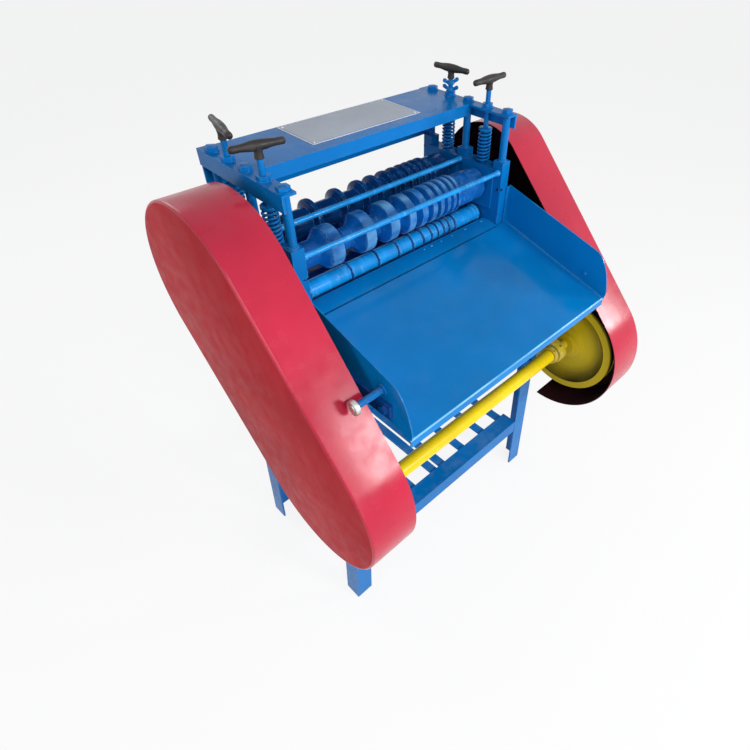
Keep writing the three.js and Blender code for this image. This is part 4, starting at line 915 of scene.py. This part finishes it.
def flange_bearings():
    end, boss = FLANGE.end_at, FLANGE.boss
    bore = LOWER_JOURNAL + BORE_GAP
    for side, way in SIDES:
        for line in LINES:
            node = f"flange_bearing_{line}_{side}"
            a, b, y, z = ends(node)
            face = min(abs(a), abs(b))
            front, boss_end = face + FLANGE.thick, face + FLANGE.boss_long
            circles = [(y - end, z, FLANGE.end), (y, z, FLANGE.tall), (y + end, z, FLANGE.end)]
            profile = [(front - 1, boss + 1), (front + 0.6, boss), (boss_end - 1, boss - 0.6),
                       (boss_end, boss - 1.6), (boss_end, 17), (boss_end - 1.4, 16.4), (boss_end - 1.4, 14),
                       (boss_end, 13.6), (boss_end, bore), (front - 1, bore)]
            forms = [hull_form(circles, slab_rows(face, front), MIDDLE_ROUND),
                     turned(profile, y, z, MIDDLE_ROUND, True)]
            forms += [placed(hexagon_head(*FLANGE.bolt), shift(front, at, z) @ turn(90, "Y"))
                      for at in (y - end, y + end)]
            piece = add_piece(f"{node}_housing", mirrored(merge(forms), way), "blue", "frame")
            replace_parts(piece, node)


# Drive

def groove_rows(start, end, radius):
    """The rim of a belt pulley from one face to the other."""
    half = (end - start) / 2
    floor = radius - BELT.sunk - BELT.deep - 1
    return both_ends(start, end, [(0, radius - 1), (1, radius), (half - GROOVE.half, radius),
                                  (half - GROOVE.floor_half, floor)])


def small_pulleys():
    for node, (radius, bore, body) in SMALL_PULLEYS.items():
        a, b, _, _ = ends(node)
        hub, wall = bore + 9, radius - BELT.deep - 8
        side = [(0, bore + BORE_GAP), (0, hub), (3, hub + 1), (4, wall - 2), (1, wall), (0, wall + 1)]
        profile = both_ends(a, b, side)
        profile[len(side):len(side)] = groove_rows(a, b, radius)
        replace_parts(turned_piece(f"{node}_turned", profile, node, "steel", body, wrap=True), node)


def big_pulley():
    node = "countershaft_pulley"
    a, b, _, _ = ends(node)
    ring, rim, boss, hub = BIG_PULLEY.ring, BIG_PULLEY.web, BIG_PULLEY.boss, BIG_PULLEY.hub
    bore = SHAFT_STUB + BORE_GAP
    web, far_web = a + BIG_PULLEY.dish, b - BIG_PULLEY.far_dish
    profile = [(a, bore), (a, hub - 2), (a + 2, hub), (web - 12, hub + 1), (web - 10, boss - 2),
               (web - 9, boss), (web - 2, boss + 2), (web, boss + 5), (web, rim - 4), (web - 2, rim),
               (a + 3, ring - 2), (a + 0.8, ring - 0.6), (a, ring + 0.4),
               *groove_rows(a, b, BIG_PULLEY.radius), (b, ring + 0.4), (b - 1, ring - 1),
               (far_web + 1, rim + 2), (far_web, rim - 2), (far_web, hub + 4), (far_web + 2, hub + 1),
               (b - 1, hub), (b, hub - 1), (b, bore)]
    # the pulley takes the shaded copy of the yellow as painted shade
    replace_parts(turned_piece("dished_pulley", profile, node, "shaded_yellow", "countershaft", FINE_ROUND, True), node)


def countershaft():
    node, wide = "countershaft", SHAFT_RADIUS
    a, b, y, z = ends(node)
    left = corners("pillow_block_left")[1].x + BORE_GAP
    right = corners("pillow_block_right")[0].x - BORE_GAP
    profile = [(a, SHAFT_STUB - 1.2), (a + 1.2, SHAFT_STUB), (left, SHAFT_STUB),
               *both_ends(left, right, [(0, wide - 1), (1, wide)]), (right, SHAFT_STUB),
               (b - 1.2, SHAFT_STUB), (b, SHAFT_STUB - 1.2)]
    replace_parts(turned_piece("countershaft_bar", profile, node, "yellow", node, MIDDLE_ROUND), node)
    screw = lathe([(wide, 3.6), (wide + 8, 3.6), (wide + 8.6, 3)], TINY_ROUND)
    for side, start, end in (("left", left, left + COLLAR_LONG), ("right", right - COLLAR_LONG, right)):
        profile = both_ends(start, end, [(0, wide - 0.5), (0, wide + 5), (1.5, wide + 6.5)])
        screw_place = shift((start + end) / 2, y, z) @ turn(COLLAR_SCREW_LEAN, "X")
        forms = [turned(profile, y, z, MIDDLE_ROUND, True), placed(screw, screw_place)]
        add_piece(f"shaft_collar_{side}", merge(forms), "casting", node)


def belts():
    shaft, motor_shaft = middle("countershaft").yz, middle("motor_pulley").yz
    rollers = [middle(f"roller_pulley_{line}").yz for line in LINES]
    small, large = SMALL_PULLEYS["feed_pulley"][0], SMALL_PULLEYS["roller_pulley_front"][0]
    runs = {
        "feed_belt": [(*shaft, small), *((*at, large) for at in rollers)],
        "drive_belt": [(*shaft, BIG_PULLEY.radius), (*motor_shaft, MOTOR_PULLEY.radius)],
    }
    outer, inner = BELT.sunk, BELT.sunk + BELT.deep
    half, inner_half = BELT.half, BELT.inner_half
    for node, circles in runs.items():
        at = middle(node).x
        rows = [(outer, at - half + 0.6), (outer + 0.6, at - half), (inner, at - inner_half),
                (inner, at + inner_half), (outer + 0.6, at + half), (outer, at + half - 0.6)]
        band = add_piece(f"{node}_band", hull_form(circles, rows, FINE_ROUND, True), "rubber", "frame")
        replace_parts(band, node)


def pillow_blocks():
    half, foot, boss, thick = PILLOW.half, PILLOW.foot, PILLOW.boss, PILLOW.foot_thick
    washer = lathe([(0, 11), (1.4, 11), (1.8, 10.5)], SMALL_ROUND)
    for side, way in SIDES:
        node = f"pillow_block_{side}"
        base = corners(node)[1].y
        at = middle(node)
        x, y, z = abs(at.x), middle("countershaft").y, at.z
        middle_y, end = base - thick / 2, thick / 2
        housing = hull_form([(y, z, boss), (middle_y, z - boss, end), (middle_y, z + boss, end)],
                            slab_rows(x - half + 3, x + half - 3, 2.5), ROUND)
        sole = hull_form([(middle_y, z - foot + end, end), (middle_y, z + foot - end, end)],
                         slab_rows(x - half, x + half, 1.5), MODEST_ROUND)
        race = turned(both_ends(x - half, x + half, RACE), y, z, MIDDLE_ROUND, True)
        forms = [housing, sole, race]
        for bolt_z in (z - PILLOW.bolt_at, z + PILLOW.bolt_at):
            bolt_place = shift(x, base - thick, bolt_z) @ turn(90, "X")
            forms += [placed(washer, bolt_place), placed(hexagon_head(*PILLOW.bolt), bolt_place)]
        nipple_place = shift(x, y - boss * 0.5, z + boss * 0.8) @ turn(NIPPLE_LEAN, "X")
        forms.append(placed(lathe(NIPPLE, TINY_ROUND), nipple_place))
        piece = add_piece(f"{node}_housing", mirrored(merge(forms), way), "casting", "frame")
        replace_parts(piece, node)


# Guards

def guard_columns(guard):
    """Columns (circle, angle, notched) round the outline; the notch is cut below the lower circle."""
    columns = [(*column, False) for column in outline_columns(guard["circles"], FINE_ROUND)]
    if "notch" not in guard:
        return columns
    y, _, radius = guard["circles"][1]
    first, last = (2 * math.pi - math.acos((at - y) / radius) for at in guard["notch"])
    before = [column for column in columns if column[1] < first]
    within = [(index, angle, True) for index, angle, _ in columns if first < angle < last]
    after = [column for column in columns if column[1] > last]
    return [*before, (1, first, False), (1, first, True), *within, (1, last, True), (1, last, False), *after]


def guard_form(guard):
    """The folded sheet, with the number of faces of its flat plate and of its whole outside."""
    columns = guard_columns(guard)
    fold = GUARD_OUTER - GUARD_FOLD
    small = GUARD_FOLD - GUARD_WALL
    arc = [math.pi / 2 * i / FOLD_STEPS for i in range(FOLD_STEPS + 1)]
    outside = [(GUARD_FOLD * (1 - math.cos(t)), fold + GUARD_FOLD * math.sin(t)) for t in reversed(arc)]
    inside = [(GUARD_WALL + small * (1 - math.cos(t)), fold + small * math.sin(t)) for t in arc]
    edge = [fold - 1 if notched else guard["edge"] for _, _, notched in columns]

    def row(inset, x=None):
        return [outline_point(guard["circles"], column, inset, edge[i] if x is None else x)
                for i, column in enumerate(columns)]

    rows = [row(*place) for place in outside] + [row(0), row(GUARD_WALL)] + [row(*place) for place in inside]
    strips = len(outside)
    if "window" not in guard:
        return skin(rows), 1, strips * len(columns) + 1
    y, z, radius = guard["window"]
    centre = spot(0, y, z)

    def hole(x):
        ring = []
        for point in rows[0]:
            out = Vector((0, point.y - centre.y, point.z - centre.z)).normalized()
            ring.append(centre + out * radius * MM + spot(x, 0, 0))
        return ring

    rows = [hole(GUARD_OUTER), *rows, hole(GUARD_OUTER - GUARD_WALL)]
    return skin(rows, True), len(columns), (strips + 1) * len(columns)


def guards():
    radius = STAY_RADIUS
    for side, way in SIDES:
        form, flat, outside = guard_form(GUARDS[side])
        # Painted shade: the inside of each sheet takes near-black maroon, and the outer plate a shaded copy of
        # the red
        others = (("red_plate", 0, flat), ("maroon", outside, len(form[1])))
        sheet = add_piece(f"guard_{side}_sheet", mirrored(form, way), "red", "frame", SHARP_ON_SHEETS, others)
        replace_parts(sheet, f"guard_{side}")
        stays = []
        for start, y, z in GUARDS[side]["stays"]:
            profile = [
                (start, radius + 4), (start + 3, radius + 3), (start + 3.4, radius),
                (GUARD_OUTER - 6, radius), (GUARD_OUTER - 5, radius + 3), (GUARD_OUTER - 3, radius + 4)]
            stays.append(turned(profile, y, z, SMALL_ROUND))
        # the stays inside the guard take the same near-black painted shade
        add_piece(f"guard_{side}_stays", mirrored(merge(stays), way), "maroon", "frame")


# Feed tray

def smooth_line(places):
    """A smooth line through places."""
    line = []
    for i in range(1, len(places) - 2):
        p0, p1, p2, p3 = (Vector(place) for place in places[i - 1:i + 3])
        for k in range(CURVE_STEPS):
            t = k / CURVE_STEPS
            line.append(0.5 * (2 * p1 + (p2 - p0) * t + (2 * p0 - 5 * p1 + 4 * p2 - p3) * t ** 2
                               + (3 * p1 - p0 - 3 * p2 + p3) * t ** 3))
    return [*line, Vector(places[-2])]


def sheet_outline():
    """The sloping sheet seen from the side: its upper face, the folded lip, and back under."""
    wall, front, rear, r = TRAY.wall, TRAY.front, TRAY.shoulder, TRAY.lip_round
    low = tray_top(front) - TRAY.lip
    back = front + r
    upper, under = [], []
    for i in range(FOLD_STEPS + 1):
        angle = math.pi / 2 * i / FOLD_STEPS
        for line, radius, height in ((upper, r, tray_top(back)), (under, r - wall, tray_top(back) - wall)):
            line.append((back - radius * math.sin(angle), height - radius * (1 - math.cos(angle))))
    return [(rear, tray_top(rear)), *upper, (front, low), (front + wall, low), *reversed(under),
            (rear, tray_top(rear) - wall)]


def tray_cheek():
    front, shoulder = TRAY.front, TRAY.shoulder
    corner = []
    for back, rise in CORNER:
        y = front + back * TRAY.corner
        corner.append((y, tray_top(y) + rise * TRAY.cheek))
    curve = [(point.x, point.y) for point in smooth_line(corner)]
    top = tray_top(shoulder)
    return [(shoulder, top - TRAY.wall), (shoulder, top + TRAY.cheek), *curve]


def tray_sheets():
    wall, half, throat_half = TRAY.wall, TRAY.half, TRAY.throat_half
    rear, bend, ledge, lap = TRAY.ledge_rear, TRAY.bend, TRAY.ledge, TRAY.shoulder - TRAY.lap
    throat = extruded([(rear, ledge), (bend, ledge), (lap, tray_top(lap)), (lap, tray_top(lap) - wall),
                       (bend, ledge - wall), (rear, ledge - wall)], -throat_half, throat_half)
    sheet = extruded(sheet_outline(), -half + 0.2, half - 0.2)
    cheeks = [extruded(tray_cheek(), *sorted((way * half, way * (half - wall)))) for way in WAYS]
    piece = add_piece("feed_tray_sheets", merge([throat, sheet, *cheeks]), "tray", "frame", SHARP_ON_SHEETS)
    soften(piece, 0.5)
    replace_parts(piece, "feed_tray")
    # A sheet under the rollers, in the darker blue as painted shade beneath them
    apron = [(rear - 2, ledge - wall - 0.2), *APRON,
             *((y + wall * 0.5, z - wall) for y, z in reversed(APRON)), (rear - 2, ledge - 2 * wall)]
    form = extruded(apron, -throat_half, throat_half)
    add_piece("sheet_under_rollers", form, "deep", "frame", SHARP_ON_SHEETS)


def tray_details():
    """The cheeks' weld seams, flanges and bolt ends, and the rivets in the ledge."""
    wall, half, shoulder, ledge = TRAY.wall, TRAY.half, TRAY.shoulder, TRAY.ledge
    bolt_radius = ARM_BOLT.radius
    bolt = lathe([(-0.3, bolt_radius + 1.5), (1.0, bolt_radius + 1.2), (1.2, bolt_radius),
                  (4.0, bolt_radius - 0.4), (4.6, 1)], SMALL_ROUND)
    foot = tray_top(shoulder) - wall
    for side, way in SIDES:
        corner = way * (half - wall)
        rows = [[spot(corner - way * x, y, tray_top(y) + up) for x, up in SEAM]
                for y in (shoulder, TRAY.front + 4)]
        add_piece(f"cheek_seam_{side}", skin(rows), "tray", "frame", SHARP_ON_WELDS)
        plate_front = corners(f"side_plate_{side}")[0].y - 0.3
        flange = block(*sorted((way * half, way * TRAY.flange_in)), shoulder - 1, plate_front, foot,
                       foot + TRAY.cheek, 0.6)
        add_piece(f"cheek_flange_{side}", flange, "tray", "frame")
        inwards = shift(corner, ARM_BOLT.y, ARM_BOLT.z) @ turn(-90 * way, "Y")
        add_piece(f"cheek_bolt_end_{side}", placed(bolt, inwards), "tray", "frame")
    dot = lathe([(ledge - 0.2, 3.4), (ledge + 0.8, 3.0), (ledge + 1.4, 1.6), (ledge + 1.5, 0.2)], TINY_ROUND)
    dots = [placed(dot, shift(x, TRAY.ledge_rear - LEDGE_DOTS.inset, 0)) for x in LEDGE_DOTS.x]
    add_piece("ledge_rivets", merge(dots), "sleeve", "frame")


def clamp_screw():
    node = "tray_clamp_screw"
    start, cap, collar, r = CLAMP.start, CLAMP.start + CLAMP.reach, CLAMP.collar, CLAMP.cap
    end = cap + CLAMP.cap_long
    y, z = middle(node).yz
    stub = [(start, collar - 1), (start + 1, collar), (start + 3, collar), (start + 4, collar - 1),
            *thread_profile(start + 4.2, cap, CLAMP.stub)]
    bar = mirrored(turned(stub, y, z, SMALL_ROUND), -1)
    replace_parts(add_piece("clamp_stub", bar, "blue", "tray_clamp"), node)
    knob = [(cap, r - 1.5), (cap + 1, r), (end - 2.5, r), (end - 1, r - 1), (end - 0.4, r - 2.5),
            (end - 1.4, r - 4.5), (end - 1.4, r - 7), (end - 0.2, r - 8.5), (end, 1)]
    add_piece("clamp_knob", mirrored(turned(knob, y, z, MODEST_ROUND), -1), "zinc", "tray_clamp")


# Motor

def finned_outline(y, z):
    outline = []
    root, tip = (MOTOR.root, 1.4), (MOTOR.radius, 1)
    for i in range(MOTOR.fins):
        at = 2 * math.pi * i / MOTOR.fins
        for (radius, thick), way in ((root, -1), (tip, -1), (tip, 1), (root, 1)):
            angle = at + way * MOTOR.fin_thick * thick / 2 / radius
            outline.append((y + radius * math.cos(angle), z + radius * math.sin(angle)))
    return outline


def motor():
    y, z = middle("motor_pulley").yz
    radius, start, end, bell, nose = MOTOR.radius, MOTOR.start, MOTOR.end, MOTOR.bell, MOTOR.nose
    foot, shelf_top = MOTOR_FOOT, corners("motor")[0].z
    foot_top = shelf_top + foot.thick
    housing = extruded(finned_outline(y, z), start + bell - 4, end - bell + 4)
    rear_bell = [(start, radius - 3), (start + 1.5, radius - 1), (start + bell - 2, radius),
                 (start + bell, radius - 2), (start + bell, 40)]
    front_bell = [(end - bell, 40), (end - bell, radius - 2), (end - bell + 2, radius), (end - 8, radius - 1),
                  (end - 2, radius - 6), (end, radius - 12), (end, nose + 4), (end + 2, nose),
                  (end + 16, nose - 1), (end + 18, nose - 3), (end + 18, 13)]
    bells = [turned(profile, y, z, MIDDLE_ROUND) for profile in (rear_bell, front_bell)]
    feet = block(foot.start, foot.end, y - foot.half, y + foot.half, shelf_top, foot_top, CAST_EDGE)
    legs = [block(foot.start + 2, foot.end - 2, at - foot.leg_half, at + foot.leg_half, foot_top - 1,
                  z - foot.leg_top, CAST_EDGE) for at in (y - foot.leg_at, y + foot.leg_at)]
    bolts = [placed(hexagon_head(*foot.bolt), shift(x, at, foot_top))
             for x in (foot.start + foot.bolt_inset, foot.end - foot.bolt_inset)
             for at in (y - foot.bolt_at, y + foot.bolt_at)]
    body = add_piece("motor_housing", merge([housing, *bells, feet, *legs, *bolts]), "grey", "frame")
    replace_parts(body, "motor")


def terminal_box():
    y, z = middle("motor_pulley").yz
    x0, x1, half, inset = TERMINAL_BOX.start, TERMINAL_BOX.end, TERMINAL_BOX.half, TERMINAL_BOX.screw_inset
    low, top = z + MOTOR.radius - 8, z + TERMINAL_BOX.above
    case = [block(x0 + 2, x1 - 2, y - half + 2, y + half - 2, low, top - 5, CAST_EDGE),
            block(x0, x1, y - half, y + half, top - 6, top, CAST_EDGE)]
    screw = lathe([(top - 0.4, 3.6), (top + 0.8, 3.3), (top + 1.4, 2)], TINY_ROUND)
    case += [placed(screw, shift(x, y + way * (half - inset), 0))
             for x in (x0 + inset, x1 - inset) for way in WAYS]
    gland_place = shift((x0 + x1) / 2, y + half - 3, z + TERMINAL_BOX.gland_at) @ turn(-90, "X")
    case.append(placed(lathe(GLAND, SMALL_ROUND), gland_place))
    add_piece("motor_terminal_box", merge(case), "grey", "frame")


def motor_cowl():
    node = "motor_fan_cover"
    a, b, _, _ = ends(node)
    radius, edge = COWL.radius, COWL.edge
    grille = []
    for i in range(COWL.rings):
        outer = COWL.first_ring - i * COWL.ring_step
        grille += [(a, outer), (a, outer - 3.4), (a + 2.5, outer - 3.6), (a + 2.5, outer - 6.8)]
    profile = [*reversed(grille), (a, edge - 2), (a + 1, edge), (a + 9, radius - 1.5), (a + 12, radius),
               (b - 6, radius), (b - 5, radius - 0.6), (b, radius - 0.6)]
    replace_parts(turned_piece("fan_cowl", profile, node, "grey", "frame"), node)


def motor_pulley():
    node = "motor_pulley"
    start = corners(node)[0].x
    at = middle("drive_belt").x
    radius, hub, shaft = MOTOR_PULLEY.radius, MOTOR_PULLEY.hub, MOTOR_PULLEY.shaft
    a, b = at - MOTOR_PULLEY.half, at + MOTOR_PULLEY.half
    profile = [(start, shaft - 1), (start + 1, shaft), (a - 6, shaft), (a - 6, hub - 1), (a, hub),
               (a, radius - 8), *groove_rows(a, b, radius), (b, hub), (b - 3, hub - 2), (b - 3, shaft),
               (b - 1, shaft - 1), (b - 0.6, 2)]
    piece = turned_piece("motor_shaft_and_pulley", profile, node, "steel", "motor_rotor", MIDDLE_ROUND)
    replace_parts(piece, node)


# Carried-over solids

def carried_over():
    for side, _ in SIDES:
        for name in ("front_leg", "rear_leg", "side_rail", "motor_rail", "shaft_bracket", "top_bar",
                     *(f"bearing_block_{line}" for line in LINES)):
            repaint(f"{name}_{side}", "blue", 0.9)
        repaint(f"side_plate_{side}", "blue", 1.2)
        repaint(f"tray_arm_{side}", "deep", 0.8)
    for node in ("front_rail", "rear_rail", "front_crossbar", "lower_rack", "motor_shelf", "top_channel"):
        repaint(node, "blue", 0.9)


# Stage, lights and camera

def add_stage():
    corner_ways = ((-1, -1), (1, -1), (1, 1), (-1, 1))
    mesh = bpy.data.meshes.new("floor")
    mesh.from_pydata([(x * FLOOR_HALF, y * FLOOR_HALF, 0) for x, y in corner_ways], [], [(0, 1, 2, 3)])
    floor = new_object("floor", mesh)
    material, tree = new_material("pale_floor")
    tree.finish({"Base Color": (*FLOOR, 1), "Roughness": 0.9})
    tree.glow("Material Output", FLOOR_GLOW, tree.shader.outputs[0], tree.add("Emission", 0))
    mesh.materials.append(material)


def add_world():
    world = bpy.data.worlds.new("studio")
    world.use_nodes = True
    tree = Tree(world.node_tree)
    plain = tree.nodes["Background"]
    tree.put(plain.inputs["Color"], (*SKY, 1))
    tree.put(plain.inputs["Strength"], WORLD_LIGHT)
    tree.glow("World Output", 1.0, plain.outputs[0], tree.add("Background", 0, {"Color": (1, 1, 1, 1)}))
    bpy.context.scene.world = world


def add_lights():
    for name, (place, target, size, power) in LIGHTS.items():
        lamp = bpy.data.lights.new(name, "AREA")
        lamp.size = size
        lamp.energy = power
        light = new_object(name, lamp)
        light.location = place
        light.rotation_euler = (Vector(target) - Vector(place)).to_track_quat("-Z", "Y").to_euler()


def add_camera():
    """The camera at its place, turned by its yaw from +y to +x, its pitch down and its roll."""
    lens = bpy.data.cameras.new("photo_camera")
    lens.sensor_width = SENSOR
    lens.lens = LENS
    lens.shift_x, lens.shift_y = CAMERA_SHIFT
    camera = new_object("photo_camera", lens)
    camera.matrix_world = (Matrix.Translation(CAMERA_PLACE) @ turn(-CAMERA_YAW, "Z")
                           @ turn(90 - CAMERA_PITCH, "X") @ turn(-CAMERA_ROLL, "Z"))
    bpy.context.scene.camera = camera


carried_over()
grooved_rollers()
blade_rollers()
springs()
pressure_screws()
head_details()
skirt_ends()
tapped_holes()
name_plate()
tie_rods()
flange_bearings()
small_pulleys()
big_pulley()
countershaft()
belts()
pillow_blocks()
guards()
tray_sheets()
tray_details()
clamp_screw()
motor()
terminal_box()
motor_cowl()
motor_pulley()
add_stage()
add_world()
add_lights()
add_camera()
bpy.context.scene.view_settings.view_transform = "Standard"
